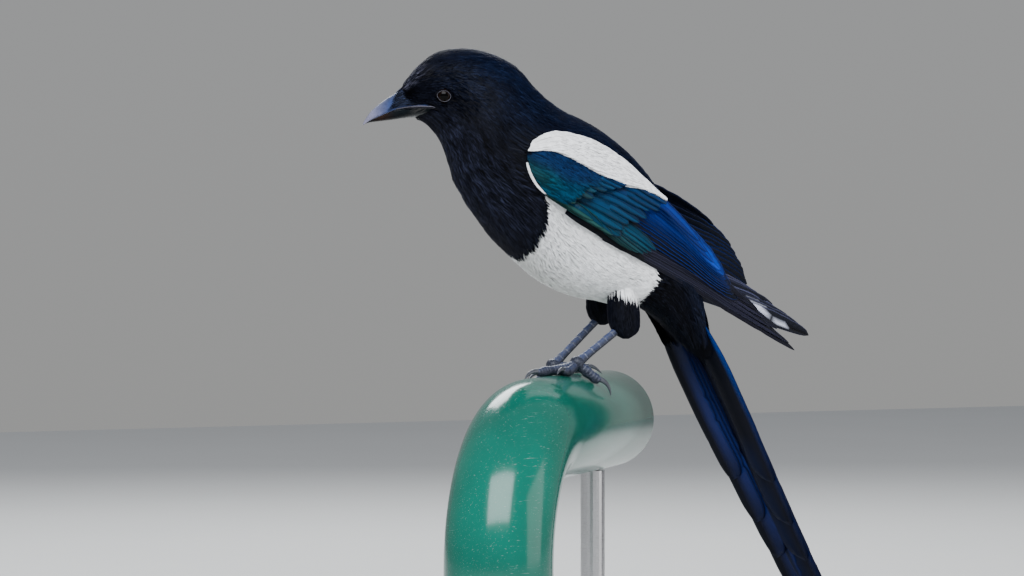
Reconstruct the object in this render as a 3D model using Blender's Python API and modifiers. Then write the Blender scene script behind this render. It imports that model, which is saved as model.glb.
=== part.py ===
"""Eurasian magpie gripping a cut length of bent rail, held by a plain display stand.

The bird heads along -X with its median plane near y = 0, and its left side is at -Y.
Places on the bird are in millimetres from the rail's crest under the feet.
"""
import math

import bmesh
import bpy
import numpy as np
from mathutils import Vector

MM = 0.001
GAP = 0.3
CREST_X = 10.0
CREST_Y = 32.0
CREST_Z = 175.0

# rail and stand
RAIL_RADIUS = 24.15
RAIL_YAW = 44.0
RAIL_BACK = 70.0
RAIL_BEND_START = 68.0
RAIL_BEND_RADIUS = 58.0
RAIL_DROP = 112.0
RAIL_SIDES = 32
BASE_LENGTH = 300.0
BASE_WIDTH = 170.0
BASE_THICK = 12.0
ROD_RADIUS = 6.0
ROD_BACK_AT = 40.0

# body sections: x, y, z of the centre, yaw, pitch, height above, height below, half width
HEAD_X = -59.8
HEAD_Y = 4.0
HEAD_YAW = 25.0


def head_place(forward, height):
    """A point on the head's own median plane."""
    yaw = math.radians(HEAD_YAW)
    return (HEAD_X - forward * math.cos(yaw), HEAD_Y + forward * math.sin(yaw), height)


SECTIONS = np.array([
    (*head_place(28.0, 131.8), HEAD_YAW, 4, 3.4, 3.6, 3.6),
    (*head_place(25.2, 131.4), HEAD_YAW, 4, 7.6, 6.6, 6.4),
    (*head_place(19.5, 132.6), HEAD_YAW, 6, 14.2, 12.4, 11.0),
    (*head_place(11.5, 133.2), HEAD_YAW, 8, 19.6, 17.6, 14.6),
    (*head_place(0.0, 130.5), HEAD_YAW, 17, 24.0, 23.5, 17.0),
    (*head_place(-10.5, 122.5), 20, 30, 28.2, 29.5, 20.0),
    (-42.5, 0.3, 111.5, 12, 40, 30.5, 31.5, 24.5),
    (-33.5, 0, 101.5, 4, 43, 34.0, 33.0, 28.5),
    (-22.0, 0, 92.5, 0, 42, 38.5, 34.0, 31.5),
    (-8.5, 0, 82.0, 0, 40, 41.0, 35.8, 33.0),
    (5.5, 0, 72.0, 0, 40, 40.5, 36.6, 33.0),
    (19.5, 0, 62.0, 0, 40, 37.0, 33.5, 31.5),
    (33.5, 0, 53.0, 0, 44, 31.0, 26.0, 28.0),
    (46.5, 0, 42.5, 0, 52, 23.5, 18.5, 24.5),
    (56.0, 0, 29.0, 0, 60, 14.5, 12.5, 21.5),
    (63.5, 0, 13.0, 0, 62, 8.5, 7.5, 18.0),
    (70.5, 0, -3.0, 0, 62, 3.5, 3.5, 12.0),
], dtype=float)
NECK_AT = 4.9
TORSO_AT = 6.7
TAIL_AT = 14.0
RING_SIDES = 24

# head parts, forward of the head's centre and up
EYE_AT = 3.36
EYE_ANGLE = 96.0
EYE_RADIUS = 4.2
EYE_SUNK = 3.1
LID_RADIUS = 3.5
LID_THICK = 0.6
GAPE = 12.0
MOUTH_SLOT = 0.3
MOUTH_REACH = 30.0
MOUTH_HALF = 9.0
# forward, culmen, mouth line, lower edge, half width
BILL = np.array([
    (13.0, 132.0, 125.7, 121.6, 5.2),
    (19.0, 135.2, 125.5, 121.2, 5.6),
    (26.0, 134.9, 124.9, 120.6, 5.3),
    (31.0, 132.0, 123.9, 120.0, 4.5),
    (36.0, 128.3, 122.5, 119.4, 3.5),
    (40.0, 124.9, 121.1, 118.9, 2.5),
    (43.5, 121.6, 119.8, 118.4, 1.4),
    (45.2, 119.7, 118.8, 117.8, 0.5),
])

# folded wing: along from the wrist, bulge from the median plane
WRIST = (-39.0, 0.0, 102.0)
WING_PITCH = 29.3
WING_BULGE = np.array([(0, 29.0), (20, 34.5), (45, 36.0), (70, 34.0), (100, 26.5),
                       (137, 16.5), (192, 8.0)])
WING_LEVEL = 38.0
WING_MIDDLE = -3.0
FAR_WING_BACK = 9.0
FAR_WING_LIFT = 4.0
FAR_WING_SPREAD = 12.0
VANE = 0.52
LAYER = 0.86

# tail
TAIL_BASE = (52.0, 0.0, 44.0)
TAIL_YAW = 6.0
TAIL_DOWN = 59.5
TAIL_LENGTHS = (225.0, 207.0, 186.0, 163.0, 141.0, 115.0)
TAIL_WIDTHS = (25.0, 22.0, 21.0, 20.0, 19.0, 18.0)
TAIL_OFFSETS = (1.5, 9.0, 10.0, 11.0, 12.2, 13.4)

# legs: foot joint, ankle, trouser middle, for the left and the right
FOOT_LEFT = (-6.5, -13.0, 5.2)
FOOT_RIGHT = (0.4, 14.0, 6.4)
ANKLE_LEFT = (26.0, -15.5, 28.0)
ANKLE_RIGHT = (29.0, 14.5, 31.0)
TROUSER_LEFT = (19.5, -15.5, 34.0)
TROUSER_RIGHT = (23.5, 14.5, 35.5)
# back, outward, up and radius of the feathered leg about its middle
TROUSER = ((-2.0, -2.0, 14.0, 11.5), (-1.0, -1.0, 6.0, 10.5), (0.0, 0.0, 0.0, 9.4),
           (1.0, 0.0, -6.0, 8.2), (2.0, 0.0, -11.5, 6.4), (2.3, 0.0, -15.5, 3.2))
TARSUS_RADIUS = 2.0
TARSUS_RINGS = 13
FOOT_HUB = 3.4
HUB_LIFT = 6.0
TOE_LANDING = 9.0
TOE_STEPS = 5
TOE_REST = 0.9
# turn from the heading, length, radius at the root, claw length
TOES_LEFT = {
    "inner": (-8.0, 17.0, 2.5, 8.5),
    "middle": (13.0, 23.5, 2.7, 10.0),
    "outer": (38.0, 16.0, 2.4, 8.0),
    "hind": (152.0, 11.5, 2.8, 9.0),
}
TOES_RIGHT = {
    "inner": (20.0, 16.0, 2.5, 8.5),
    "middle": (-4.0, 21.5, 2.7, 9.5),
    "outer": (-28.0, 16.0, 2.4, 8.0),
    "hind": (166.0, 13.0, 2.8, 10.5),
}
TOE_SWELL = (1.0, 0.86, 0.98, 0.8, 0.92, 0.62)
CLAW_STEPS = 4
CLAW_OFF = 0.45
CLAW_HOOK = 0.85
CLAW_ARCH = 1.7
CLAW_DROP = 1.2
CLAW_ROOT = 1.35
CLAW_TIP = 0.12

COLOURS = {
    "black": ((0.012, 0.013, 0.018), 0.55, 0.0),
    "white": ((0.82, 0.82, 0.80), 0.7, 0.0),
    "blue": ((0.015, 0.06, 0.19), 0.4, 0.1),
    "horn": ((0.03, 0.03, 0.036), 0.35, 0.0),
    "eye": ((0.012, 0.008, 0.006), 0.08, 0.0),
    "leg": ((0.05, 0.056, 0.068), 0.5, 0.0),
    "paint": ((0.02, 0.22, 0.13), 0.2, 0.0),
    "board": ((0.50, 0.50, 0.48), 0.6, 0.0),
    "rod": ((0.45, 0.45, 0.46), 0.3, 1.0),
}


def start():
    """Empty the scene and make the model's and the cutters' collections."""
    for thing in list(bpy.data.objects):
        bpy.data.objects.remove(thing)
    for name in ("magpie", "cutters"):
        bpy.context.scene.collection.children.link(bpy.data.collections.new(name))


def material(name):
    colour, roughness, metallic = COLOURS[name]
    found = bpy.data.materials.get(name)
    if found:
        return found
    made = bpy.data.materials.new(name)
    made.use_nodes = True
    shader = made.node_tree.nodes["Principled BSDF"]
    shader.inputs["Base Color"].default_value = (*colour, 1.0)
    shader.inputs["Roughness"].default_value = roughness
    shader.inputs["Metallic"].default_value = metallic
    return made


def world(point):
    """From bird millimetres to world metres."""
    return ((point[0] + CREST_X) * MM, (point[1] + CREST_Y) * MM, (point[2] + CREST_Z) * MM)


def make(name, points, faces, finish, collection="magpie"):
    """A mesh object from bird millimetres, faces pointing out."""
    mesh = bpy.data.meshes.new(name)
    mesh.from_pydata([world(point) for point in points], [], faces)
    form = bmesh.new()
    form.from_mesh(mesh)
    bmesh.ops.recalc_face_normals(form, faces=form.faces)
    bmesh.ops.triangulate(form, faces=[face for face in form.faces if len(face.verts) > 4])
    form.to_mesh(mesh)
    form.free()
    mesh.materials.append(material(finish))
    thing = bpy.data.objects.new(name, mesh)
    bpy.data.collections[collection].objects.link(thing)
    return thing


def loft(name, rings, finish, collection="magpie"):
    """A closed skin over rings of equal count, with flat ends and triangle sides."""
    sides = len(rings[0])
    points = [point for ring in rings for point in ring]
    faces = []
    for row in range(len(rings) - 1):
        for side in range(sides):
            after = (side + 1) % sides
            here = row * sides + side
            beside = row * sides + after
            faces.append((here, beside, here + sides))
            faces.append((beside, beside + sides, here + sides))
    last = (len(rings) - 1) * sides
    faces.append(tuple(range(sides)))
    faces.append(tuple(range(last + sides - 1, last - 1, -1)))
    return make(name, points, faces, finish, collection)


def keep_largest(thing):
    """Drop every loose scrap and sealed shell but the largest surface."""
    form = bmesh.new()
    form.from_mesh(thing.data)
    bmesh.ops.triangulate(form, faces=form.faces)
    unseen = set(form.faces)
    groups = []
    while unseen:
        group = []
        todo = [unseen.pop()]
        while todo:
            face = todo.pop()
            group.append(face)
            for edge in face.edges:
                for other in edge.link_faces:
                    if other in unseen:
                        unseen.remove(other)
                        todo.append(other)
        groups.append(group)
    groups.sort(key=lambda group: sum(face.calc_area() for face in group))
    scraps = [face for group in groups[:-1] for face in group]
    bmesh.ops.delete(form, geom=scraps, context="FACES")
    loose = [vert for vert in form.verts if not vert.link_faces]
    bmesh.ops.delete(form, geom=loose, context="VERTS")
    form.to_mesh(thing.data)
    form.free()


def combine(thing, others, operation, solver="MANIFOLD"):
    """Join other closed pieces to a node, or cut them from it, and remove them."""
    group = bpy.data.collections.new("group")
    bpy.context.scene.collection.children.link(group)
    for other in others:
        group.objects.link(other)
    modifier = thing.modifiers.new(operation, "BOOLEAN")
    modifier.operation = operation
    modifier.operand_type = "COLLECTION"
    modifier.collection = group
    modifier.solver = solver
    bpy.context.view_layer.update()
    evaluated = thing.evaluated_get(bpy.context.evaluated_depsgraph_get())
    result = bpy.data.meshes.new_from_object(evaluated)
    thing.modifiers.clear()
    thing.data = result
    for other in others:
        bpy.data.objects.remove(other)
    bpy.data.collections.remove(group)
    keep_largest(thing)
    return thing


def smooth_row(table, at):
    """Catmull-Rom reading of a table's rows at a running row number."""
    count = len(table)
    at = min(max(at, 0.0), count - 1 - 1e-9)
    row = int(at)
    part = at - row
    before = table[row - 1] if row else 2 * table[0] - table[1]
    first = table[row]
    second = table[row + 1]
    beyond = table[row + 2] if row + 2 < count else 2 * table[-1] - table[-2]
    return 0.5 * (2 * first + (second - before) * part
                  + (2 * before - 5 * first + 4 * second - beyond) * part ** 2
                  + (3 * first - before - 3 * second + beyond) * part ** 3)


def body_frame(at):
    """Centre, backward, up and left directions and the three radii of a section."""
    row = smooth_row(SECTIONS, at)
    yaw = math.radians(row[3])
    pitch = math.radians(row[4])
    back = np.array([math.cos(pitch) * math.cos(yaw), -math.cos(pitch) * math.sin(yaw), -math.sin(pitch)])
    up = np.array([math.sin(pitch) * math.cos(yaw), -math.sin(pitch) * math.sin(yaw), math.cos(pitch)])
    left = np.array([-math.sin(yaw), -math.cos(yaw), 0.0])
    return row[:3], back, up, left, row[5:]


def body_point(at, angle, grow=0.0):
    """A point of the body's skin; angle 0 is the back and 90 the left side."""
    centre, _, up, left, radii = body_frame(at)
    turn = math.radians(angle)
    height = radii[0] if math.cos(turn) > 0 else radii[1]
    return centre + up * (height + grow) * math.cos(turn) + left * (radii[2] + grow) * math.sin(turn)


def body_ring(at, grow=0.0, shift=0.0):
    _, back, _, _, _ = body_frame(at)
    return [body_point(at, 360.0 * side / RING_SIDES, grow) + back * shift for side in range(RING_SIDES)]


def body_part(name, first, last, finish, steps, grow=0.0, collection="magpie"):
    """The body between two section numbers, half a gap short at each end."""
    trim = GAP / 2 if grow == 0.0 else -grow / 2
    rings = []
    for step in range(steps + 1):
        at = first + (last - first) * step / steps
        shift = trim if step == 0 else -trim if step == steps else 0.0
        rings.append(body_ring(at, grow, shift))
    return loft(name, rings, finish, collection)


def torso_cutter():
    """The body from the neck to the tail's root, a gap larger all round."""
    return body_part("torso_cutter", NECK_AT, len(SECTIONS) - 1.0, "black", 22, GAP, "cutters")


def head_point(forward, side, height):
    """From head sizes to bird millimetres; side is to the bird's left."""
    yaw = math.radians(HEAD_YAW)
    x, y, z = head_place(forward, height)
    return np.array([x - side * math.sin(yaw), y - side * math.cos(yaw), z])


def vane(name, path, sides, widths, thick, finish, collection="cutters"):
    """A flat feather: a path, its sideways direction at each point and its half widths."""
    path = [np.array(point, dtype=float) for point in path]
    rings = []
    for number, point in enumerate(path):
        ahead = path[min(number + 1, len(path) - 1)] - path[max(number - 1, 0)]
        across = np.array(sides[number], dtype=float)
        normal = np.cross(across, ahead)
        normal = normal / np.linalg.norm(normal)
        across = np.cross(ahead, normal)
        across = across / np.linalg.norm(across)
        half = widths[number]
        lift = normal * thick / 2
        rings.append([point - across * half + lift, point + across * half + lift,
                      point + across * half - lift, point - across * half - lift])
    points = [point for ring in rings for point in ring]
    faces = []
    for row in range(len(rings) - 1):
        a, b, c, d = (row * 4 + corner for corner in range(4))
        faces += [(a, b, a + 4), (b, b + 4, a + 4)]
        faces += [(d, d + 4, c), (c, d + 4, c + 4)]
        faces += [(b, c, b + 4), (c, c + 4, b + 4)]
        faces += [(a, a + 4, d), (d, a + 4, d + 4)]
    last = len(points) - 4
    faces += [(0, 3, 1), (1, 3, 2), (last, last + 1, last + 3), (last + 1, last + 2, last + 3)]
    return make(name, points, faces, finish, collection)


def vane_width(part, half, tip=0.82, root=0.55):
    """Half width along a feather: narrow root, full middle, round tip."""
    if part < 0.25:
        return half * (root + (1 - root) * part / 0.25)
    if part <= tip:
        return half
    rest = (part - tip) / (1 - tip)
    return half * math.sqrt(max(0.0, 1 - 0.93 * rest ** 2))


# wings
def wing_point(side, along, across, height):
    """A point over the folded wing: along from the wrist, across upwards, height outwards."""
    pitch = WING_PITCH if side < 0 else WING_PITCH - FAR_WING_LIFT
    shift = 0.0 if side < 0 else FAR_WING_BACK
    cosine = math.cos(math.radians(pitch))
    sine = math.sin(math.radians(pitch))
    place = along + shift
    x = WRIST[0] + place * cosine + across * sine
    z = WRIST[2] - place * sine + across * cosine
    bulge = float(np.interp(along, WING_BULGE[:, 0], WING_BULGE[:, 1]))
    level = (across - WING_MIDDLE + 0.05 * along) / WING_LEVEL
    y = bulge * math.sqrt(max(0.04, 1 - level ** 2))
    lean = bulge / WING_LEVEL * level
    height = height / math.sqrt(1 + lean ** 2)
    return np.array([x + height * lean * sine, side * (y + height), z + height * lean * cosine])


def wing_vane(name, side, root, tip, half, rise, finish, steps=5, bow=0.0):
    """A feather on the folded wing from root to tip; rise gives its heights there."""
    path = []
    sides = []
    widths = []
    for step in range(steps + 1):
        part = step / steps
        along = root[0] + (tip[0] - root[0]) * part
        across = root[1] + (tip[1] - root[1]) * part + bow * math.sin(math.pi * part)
        height = rise[0] + (rise[1] - rise[0]) * min(1.0, part * 1.6)
        point = wing_point(side, along, across, height)
        above = wing_point(side, along, across + 2.0, height)
        path.append(point)
        sides.append(above - point)
        widths.append(vane_width(part, half))
    return vane(name, path, sides, widths, VANE, finish)


def wing_core(name, side):
    """The arm under the feathers, which lies on the body's side."""
    rings = []
    for step in range(9):
        part = step / 8
        along = -6.0 + 104.0 * part
        low = -4.0 - 9.0 * math.sin(math.pi * min(1.0, part * 1.25 + 0.12)) + 3.0 * part
        high = 9.0 + 9.0 * math.sin(math.pi * min(1.0, part + 0.15))
        rounding = math.sqrt(max(0.0, 1 - (2 * part - 1) ** 6))
        middle = (low + high) / 2
        reach = (high - low) / 2 * (0.35 + 0.65 * rounding)
        ring = []
        for number in range(10):
            turn = 2 * math.pi * number / 10
            across = middle + reach * math.cos(turn)
            outward = 2.6 * rounding * math.sin(turn) if math.sin(turn) > 0 else 9.0 * math.sin(turn)
            ring.append(wing_point(side, along, across, outward - 1.2))
        rings.append(ring)
    return loft(name, rings, "black")


# name, count, first root, last root, first tip, last tip, half width, root height, first height, step, bow
TIERS = (
    ("primary", 6, (56, -7), (52, -1), (190, 0.9), (142, 3.0), 4.2, -1.8, -2.0, 0.8, 2.5),
    ("secondary", 5, (38, -3), (24, 9), (141, 1.5), (123, 8.5), 5.6, -1.0, 1.3, 0.85, 1.5),
    ("tertial", 2, (30, 8), (26, 11), (112, 11), (100, 13), 6.2, -0.8, 5.2, 0.9, 1.0),
    ("primary_covert", 3, (28, -9), (24, -7), (90, -7), (62, -9), 4.4, -1.2, 1.2, 0.9, 0.0),
    ("greater_covert", 4, (14, -2), (14, 12), (66, -2), (73, 14), 4.6, -0.6, 2.6, 1.1, 0.5),
    ("scapular", 4, (-2, 9), (10, 16), (82, 15.5), (54, 18.5), 5.4, -0.6, 5.2, 0.8, 1.5),
)


def wing_feathers(side):
    """All vanes of one folded wing, tier by tier."""
    vanes = []
    spread = FAR_WING_SPREAD if side > 0 else 0.0
    for name, count, root_a, root_b, tip_a, tip_b, half, sunk, first, step, bow in TIERS:
        for number in range(count):
            part = number / (count - 1)
            root = np.array(root_a) * (1 - part) + np.array(root_b) * part
            tip = np.array(tip_a) * (1 - part) + np.array(tip_b) * part
            if name in ("secondary", "tertial"):
                tip = tip + np.array((spread * 0.5, spread * (0.75 + 0.4 * part)))
            heights = (sunk, first + step * number)
            steps = 5 if name == "primary" else 4
            vanes.append(wing_vane(f"{name}{number}", side, root, tip, half, heights, "black", steps, bow))
    return vanes


def wing(side):
    word = "left" if side < 0 else "right"
    node = wing_core(f"wing_{word}", side)
    combine(node, wing_feathers(side), "UNION")
    return combine(node, [torso_cutter()], "DIFFERENCE")


# tail
def tail_point(along, across, height):
    down = math.radians(TAIL_DOWN)
    yaw = math.radians(TAIL_YAW)
    flat = along * math.cos(down) + height * math.sin(down)
    z = TAIL_BASE[2] - along * math.sin(down) + height * math.cos(down)
    x = TAIL_BASE[0] + flat * math.cos(yaw) - across * math.sin(yaw)
    y = TAIL_BASE[1] + flat * math.sin(yaw) + across * math.cos(yaw)
    return np.array([x, y, z])


def tail_vanes():
    vanes = []
    for pair in range(6):
        for side in (-1, 1):
            level = 4.6 - LAYER * (pair + 1) if pair else 4.6 + LAYER * (0.5 * side + 0.5)
            length = TAIL_LENGTHS[pair]
            path = []
            sides = []
            widths = []
            for step in range(7):
                part = step / 6
                along = 22.0 + (length - 22.0) * part
                spread = TAIL_OFFSETS[pair] * min(1.0, 0.55 + 0.9 * part)
                path.append(tail_point(along, side * spread, level * min(1.0, 0.5 + part)))
                sides.append(tail_point(along, 1.0, 0.0) - tail_point(along, 0.0, 0.0))
                widths.append(vane_width(part, TAIL_WIDTHS[pair] / 2, 0.9, 0.5))
            vanes.append(vane(f"tail{pair}{side}", path, sides, widths, VANE, "black"))
    return vanes


def tail_coverts():
    """Short vanes over and under the tail's root."""
    vanes = []
    for level, count, reach, half, word in ((-1.0, 5, 62.0, 6.5, "under"), (1.0, 5, 70.0, 6.5, "upper")):
        for number in range(count):
            across = (number - (count - 1) / 2) * 5.0
            length = reach - 1.1 * abs(across)
            path = []
            sides = []
            widths = []
            for step in range(4):
                part = step / 3
                along = 20.0 + (length - 20.0) * part
                height = level * (5.6 - 1.6 * part + 0.8 * (number % 2))
                path.append(tail_point(along, across, height))
                sides.append(tail_point(along, 1.0, 0.0) - tail_point(along, 0.0, 0.0))
                widths.append(vane_width(part, half, 0.6, 0.7))
            vanes.append(vane(f"{word}{number}", path, sides, widths, VANE, "black"))
    return vanes


def tail():
    node = body_part("tail", TAIL_AT, len(SECTIONS) - 1.0, "black", 5)
    return combine(node, tail_vanes() + tail_coverts(), "UNION")


# head
def bill_ring(row, upper):
    forward, top, mouth, low, half = row
    ring = []
    edge = mouth + GAP / 2 if upper else mouth - GAP / 2
    reach = top - edge if upper else edge - low
    sign = 1.0 if upper else -1.0
    for number in range(9):
        turn = math.pi * number / 8
        side = half * math.cos(turn)
        height = edge + sign * reach * math.sin(turn) ** 0.85
        ring.append(head_point(forward, side, height))
    return ring


def bill(upper, grow=0.0):
    name = "bill_upper" if upper else "bill_lower"
    table = BILL.copy()
    if grow:
        table[:, 1] += grow
        table[:, 3] -= grow
        table[:, 4] += grow
        table[0, 0] -= grow
    rows = [smooth_row(table, step / 2) for step in range(2 * len(table) - 1)]
    if grow:
        return loft(name + "_cutter", [bill_ring(row, upper) for row in rows], "horn", "cutters")
    return loft(name, [bill_ring(row, upper) for row in rows], "horn")


def ball(name, centre, radius, finish, collection="magpie", segments=18, rings=10):
    bpy.ops.mesh.primitive_uv_sphere_add(segments=segments, ring_count=rings, radius=radius * MM,
                                         location=world(centre))
    thing = bpy.context.object
    thing.name = name
    thing.data.materials.append(material(finish))
    for owner in list(thing.users_collection):
        owner.objects.unlink(thing)
    bpy.data.collections[collection].objects.link(thing)
    return thing


def eye_centre(side):
    skin = body_point(EYE_AT, side * EYE_ANGLE)
    middle = body_frame(EYE_AT)[0]
    outward = (skin - middle) / np.linalg.norm(skin - middle)
    return skin - outward * EYE_SUNK, outward


def lid(side):
    """The raised rim around an eye."""
    centre, outward = eye_centre(side)
    depth = math.sqrt(EYE_RADIUS ** 2 - (LID_RADIUS - LID_THICK) ** 2)
    bpy.ops.mesh.primitive_torus_add(major_segments=18, minor_segments=5, major_radius=LID_RADIUS * MM,
                                     minor_radius=LID_THICK * MM, location=world(centre + outward * depth),
                                     rotation=Vector(outward).to_track_quat("Z", "Y").to_euler())
    thing = bpy.context.object
    thing.name = "lid"
    return thing


def mouth_cut():
    """A thin slot at the mouth's line, from the gape forwards."""
    rings = []
    for step in range(6):
        forward = GAPE + (MOUTH_REACH - GAPE) * step / 5
        height = float(np.interp(forward, BILL[:, 0], BILL[:, 2]))
        corners = ((MOUTH_HALF, MOUTH_SLOT), (-MOUTH_HALF, MOUTH_SLOT),
                   (-MOUTH_HALF, -MOUTH_SLOT), (MOUTH_HALF, -MOUTH_SLOT))
        rings.append([head_point(forward, side, height + lift) for side, lift in corners])
    return loft("mouth_cut", rings, "horn", "cutters")


def head():
    node = body_part("head", 0.0, NECK_AT, "black", 10)
    combine(node, [lid(-1), lid(1)], "UNION")
    cutters = [bill(True, GAP), bill(False, GAP), mouth_cut()]
    for side in (-1, 1):
        centre, _ = eye_centre(side)
        cutters.append(ball("socket", centre, EYE_RADIUS + GAP, "eye", "cutters"))
    combine(node, cutters, "DIFFERENCE")
    for side, word in ((1, "left"), (-1, "right")):
        ball(f"eye_{word}", eye_centre(side)[0], EYE_RADIUS, "eye")
    bill(True)
    bill(False)


# legs
def tube(name, path, radii, finish, sides=10, collection="magpie"):
    """A round limb along a path, with a radius at each point."""
    path = [np.array(point, dtype=float) for point in path]
    rings = []
    start_along = path[1] - path[0]
    steep = abs(start_along[2]) > 0.8 * np.linalg.norm(start_along)
    helper = np.array([1.0, 0.0, 0.0]) if steep else np.array([0.0, 0.0, 1.0])
    across = np.cross(start_along, helper)
    for number, point in enumerate(path):
        ahead = path[min(number + 1, len(path) - 1)] - path[max(number - 1, 0)]
        ahead = ahead / np.linalg.norm(ahead)
        across = across - ahead * float(np.dot(across, ahead))
        across = across / np.linalg.norm(across)
        other = np.cross(ahead, across)
        ring = []
        for side in range(sides):
            turn = 2 * math.pi * side / sides
            ring.append(point + (across * math.cos(turn) + other * math.sin(turn)) * radii[number])
        rings.append(ring)
    return loft(name, rings, finish, collection)


def rail_point(along, angle, radius):
    """A point about the rail's straight part; angle 0 is the crest, positive to the right of the view."""
    yaw = math.radians(RAIL_YAW)
    axis = np.array([math.cos(yaw), math.sin(yaw), 0.0])
    side = np.array([math.sin(yaw), -math.cos(yaw), 0.0])
    centre = axis * along - np.array([0.0, 0.0, RAIL_RADIUS])
    return centre + side * radius * math.sin(angle) + np.array([0.0, 0.0, radius * math.cos(angle)])


def rail_place(point):
    """Along and around places of a point on the rail."""
    yaw = math.radians(RAIL_YAW)
    along = point[0] * math.cos(yaw) + point[1] * math.sin(yaw)
    side = point[0] * math.sin(yaw) - point[1] * math.cos(yaw)
    return along, math.asin(side / RAIL_RADIUS)


def toe_path(foot, turn, length, radius):
    """Places along a toe that winds over the rail from the foot's joint."""
    along, around = rail_place(foot)
    heading = math.radians(180.0 - RAIL_YAW + turn)
    points = []
    for step in range(TOE_STEPS + 1):
        run = length * step / TOE_STEPS
        lift = radius * TOE_REST + (HUB_LIFT - radius) * max(0.0, 1 - run / TOE_LANDING) ** 1.5
        points.append(rail_point(along + run * math.cos(heading),
                                 around - run * math.sin(heading) / RAIL_RADIUS, RAIL_RADIUS + lift))
    return points


def foot(side):
    word = "left" if side < 0 else "right"
    place = FOOT_LEFT if side < 0 else FOOT_RIGHT
    along, around = rail_place(place)
    hub = rail_point(along, around, RAIL_RADIUS + HUB_LIFT)
    node = ball(f"foot_{word}", hub, FOOT_HUB, "leg", segments=10, rings=7)
    toes = []
    toe_table = TOES_LEFT if side < 0 else TOES_RIGHT
    for name, (turn, length, radius, _) in toe_table.items():
        path = toe_path(place, turn, length, radius)
        toes.append(tube(f"toe_{name}", path, [radius * part for part in TOE_SWELL], "leg", 7, "cutters"))
    combine(node, toes, "UNION")
    combine(node, [rail_cutter(), tarsus(side, GAP)], "DIFFERENCE")
    for name, (turn, length, radius, reach) in toe_table.items():
        claw(f"claw_{word}_{name}", place, turn, length, radius, reach)
    return node


def claw(name, place, turn, length, radius, reach):
    """A curved claw that carries on from its toe's end and hooks down to the rail."""
    along, around = rail_place(place)
    heading = math.radians(180.0 - RAIL_YAW + turn)
    path = []
    radii = []
    for step in range(CLAW_STEPS + 1):
        part = step / CLAW_STEPS
        run = length + CLAW_OFF + reach * CLAW_HOOK * part
        arch = CLAW_ARCH * math.sin(math.pi * min(1.0, part * 0.9 + 0.1))
        lift = radius * TOE_REST + arch - CLAW_DROP * part
        path.append(rail_point(along + run * math.cos(heading),
                               around - run * math.sin(heading) / RAIL_RADIUS, RAIL_RADIUS + lift))
        radii.append(CLAW_ROOT * (1 - part) ** 0.7 + CLAW_TIP)
    return tube(name, path, radii, "horn", 6)


def tarsus_path(side):
    place = np.array(FOOT_LEFT if side < 0 else FOOT_RIGHT)
    ankle = np.array(ANKLE_LEFT if side < 0 else ANKLE_RIGHT)
    along, around = rail_place(place)
    hub = rail_point(along, around, RAIL_RADIUS + HUB_LIFT)
    aim = (ankle - hub) / np.linalg.norm(ankle - hub)
    begin = hub + aim * (FOOT_HUB - 0.4)
    return begin, ankle


def tarsus(side, grow=0.0):
    """The bare leg with shallow rings of scutes."""
    word = "left" if side < 0 else "right"
    begin, ankle = tarsus_path(side)
    path = []
    radii = []
    for step in range(TARSUS_RINGS):
        part = step / (TARSUS_RINGS - 1)
        path.append(begin + (ankle - begin) * part)
        scute = 0.12 if step % 2 else 0.0
        swell = 0.5 * math.exp(-(part / 0.12) ** 2) + 0.9 * math.exp(-((1 - part) / 0.14) ** 2)
        radii.append(TARSUS_RADIUS + scute + swell + grow)
    if grow:
        return tube("tarsus_cutter", path, radii, "leg", 9, "cutters")
    return tube(f"tarsus_{word}", path, radii, "leg", 9)


def thigh(side):
    """The feathered upper leg, a soft bulb that leaves the belly."""
    word = "left" if side < 0 else "right"
    middle = np.array(TROUSER_LEFT if side < 0 else TROUSER_RIGHT)
    path = [middle + np.array((back, side * inward, up)) for back, inward, up, _ in TROUSER]
    node = tube(f"thigh_{word}", path, [row[3] for row in TROUSER], "black", 14)
    return combine(node, [torso_cutter(), tarsus(side, GAP)], "DIFFERENCE")


# rail and stand
def rail_axis():
    """Axis points of the rail from its back end, over the feet and down its bend."""
    yaw = math.radians(RAIL_YAW)
    axis = np.array([math.cos(yaw), math.sin(yaw), 0.0])
    down = np.array([0.0, 0.0, -1.0])
    level = np.array([0.0, 0.0, -RAIL_RADIUS])
    points = [level + axis * RAIL_BACK, level, level - axis * RAIL_BEND_START]
    for step in range(1, 11):
        turn = math.radians(90.0 * step / 10)
        points.append(level - axis * (RAIL_BEND_START + RAIL_BEND_RADIUS * math.sin(turn))
                      + down * RAIL_BEND_RADIUS * (1 - math.cos(turn)))
    points.append(points[-1] + down * (RAIL_DROP - RAIL_BEND_RADIUS - RAIL_RADIUS))
    return points


def rail_shape(name, radius, collection):
    points = rail_axis()
    return tube(name, points, [radius] * len(points), "paint", RAIL_SIDES, collection)


def rail_cutter():
    return rail_shape("rail_cutter", RAIL_RADIUS + GAP, "cutters")


def cylinder(name, centre, radius, low, high, finish):
    bpy.ops.mesh.primitive_cylinder_add(vertices=24, radius=radius * MM, depth=(high - low) * MM,
                                        location=world((centre[0], centre[1], (low + high) / 2)))
    thing = bpy.context.object
    thing.name = name
    thing.data.materials.append(material(finish))
    for owner in list(thing.users_collection):
        owner.objects.unlink(thing)
    bpy.data.collections["magpie"].objects.link(thing)
    return thing


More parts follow.
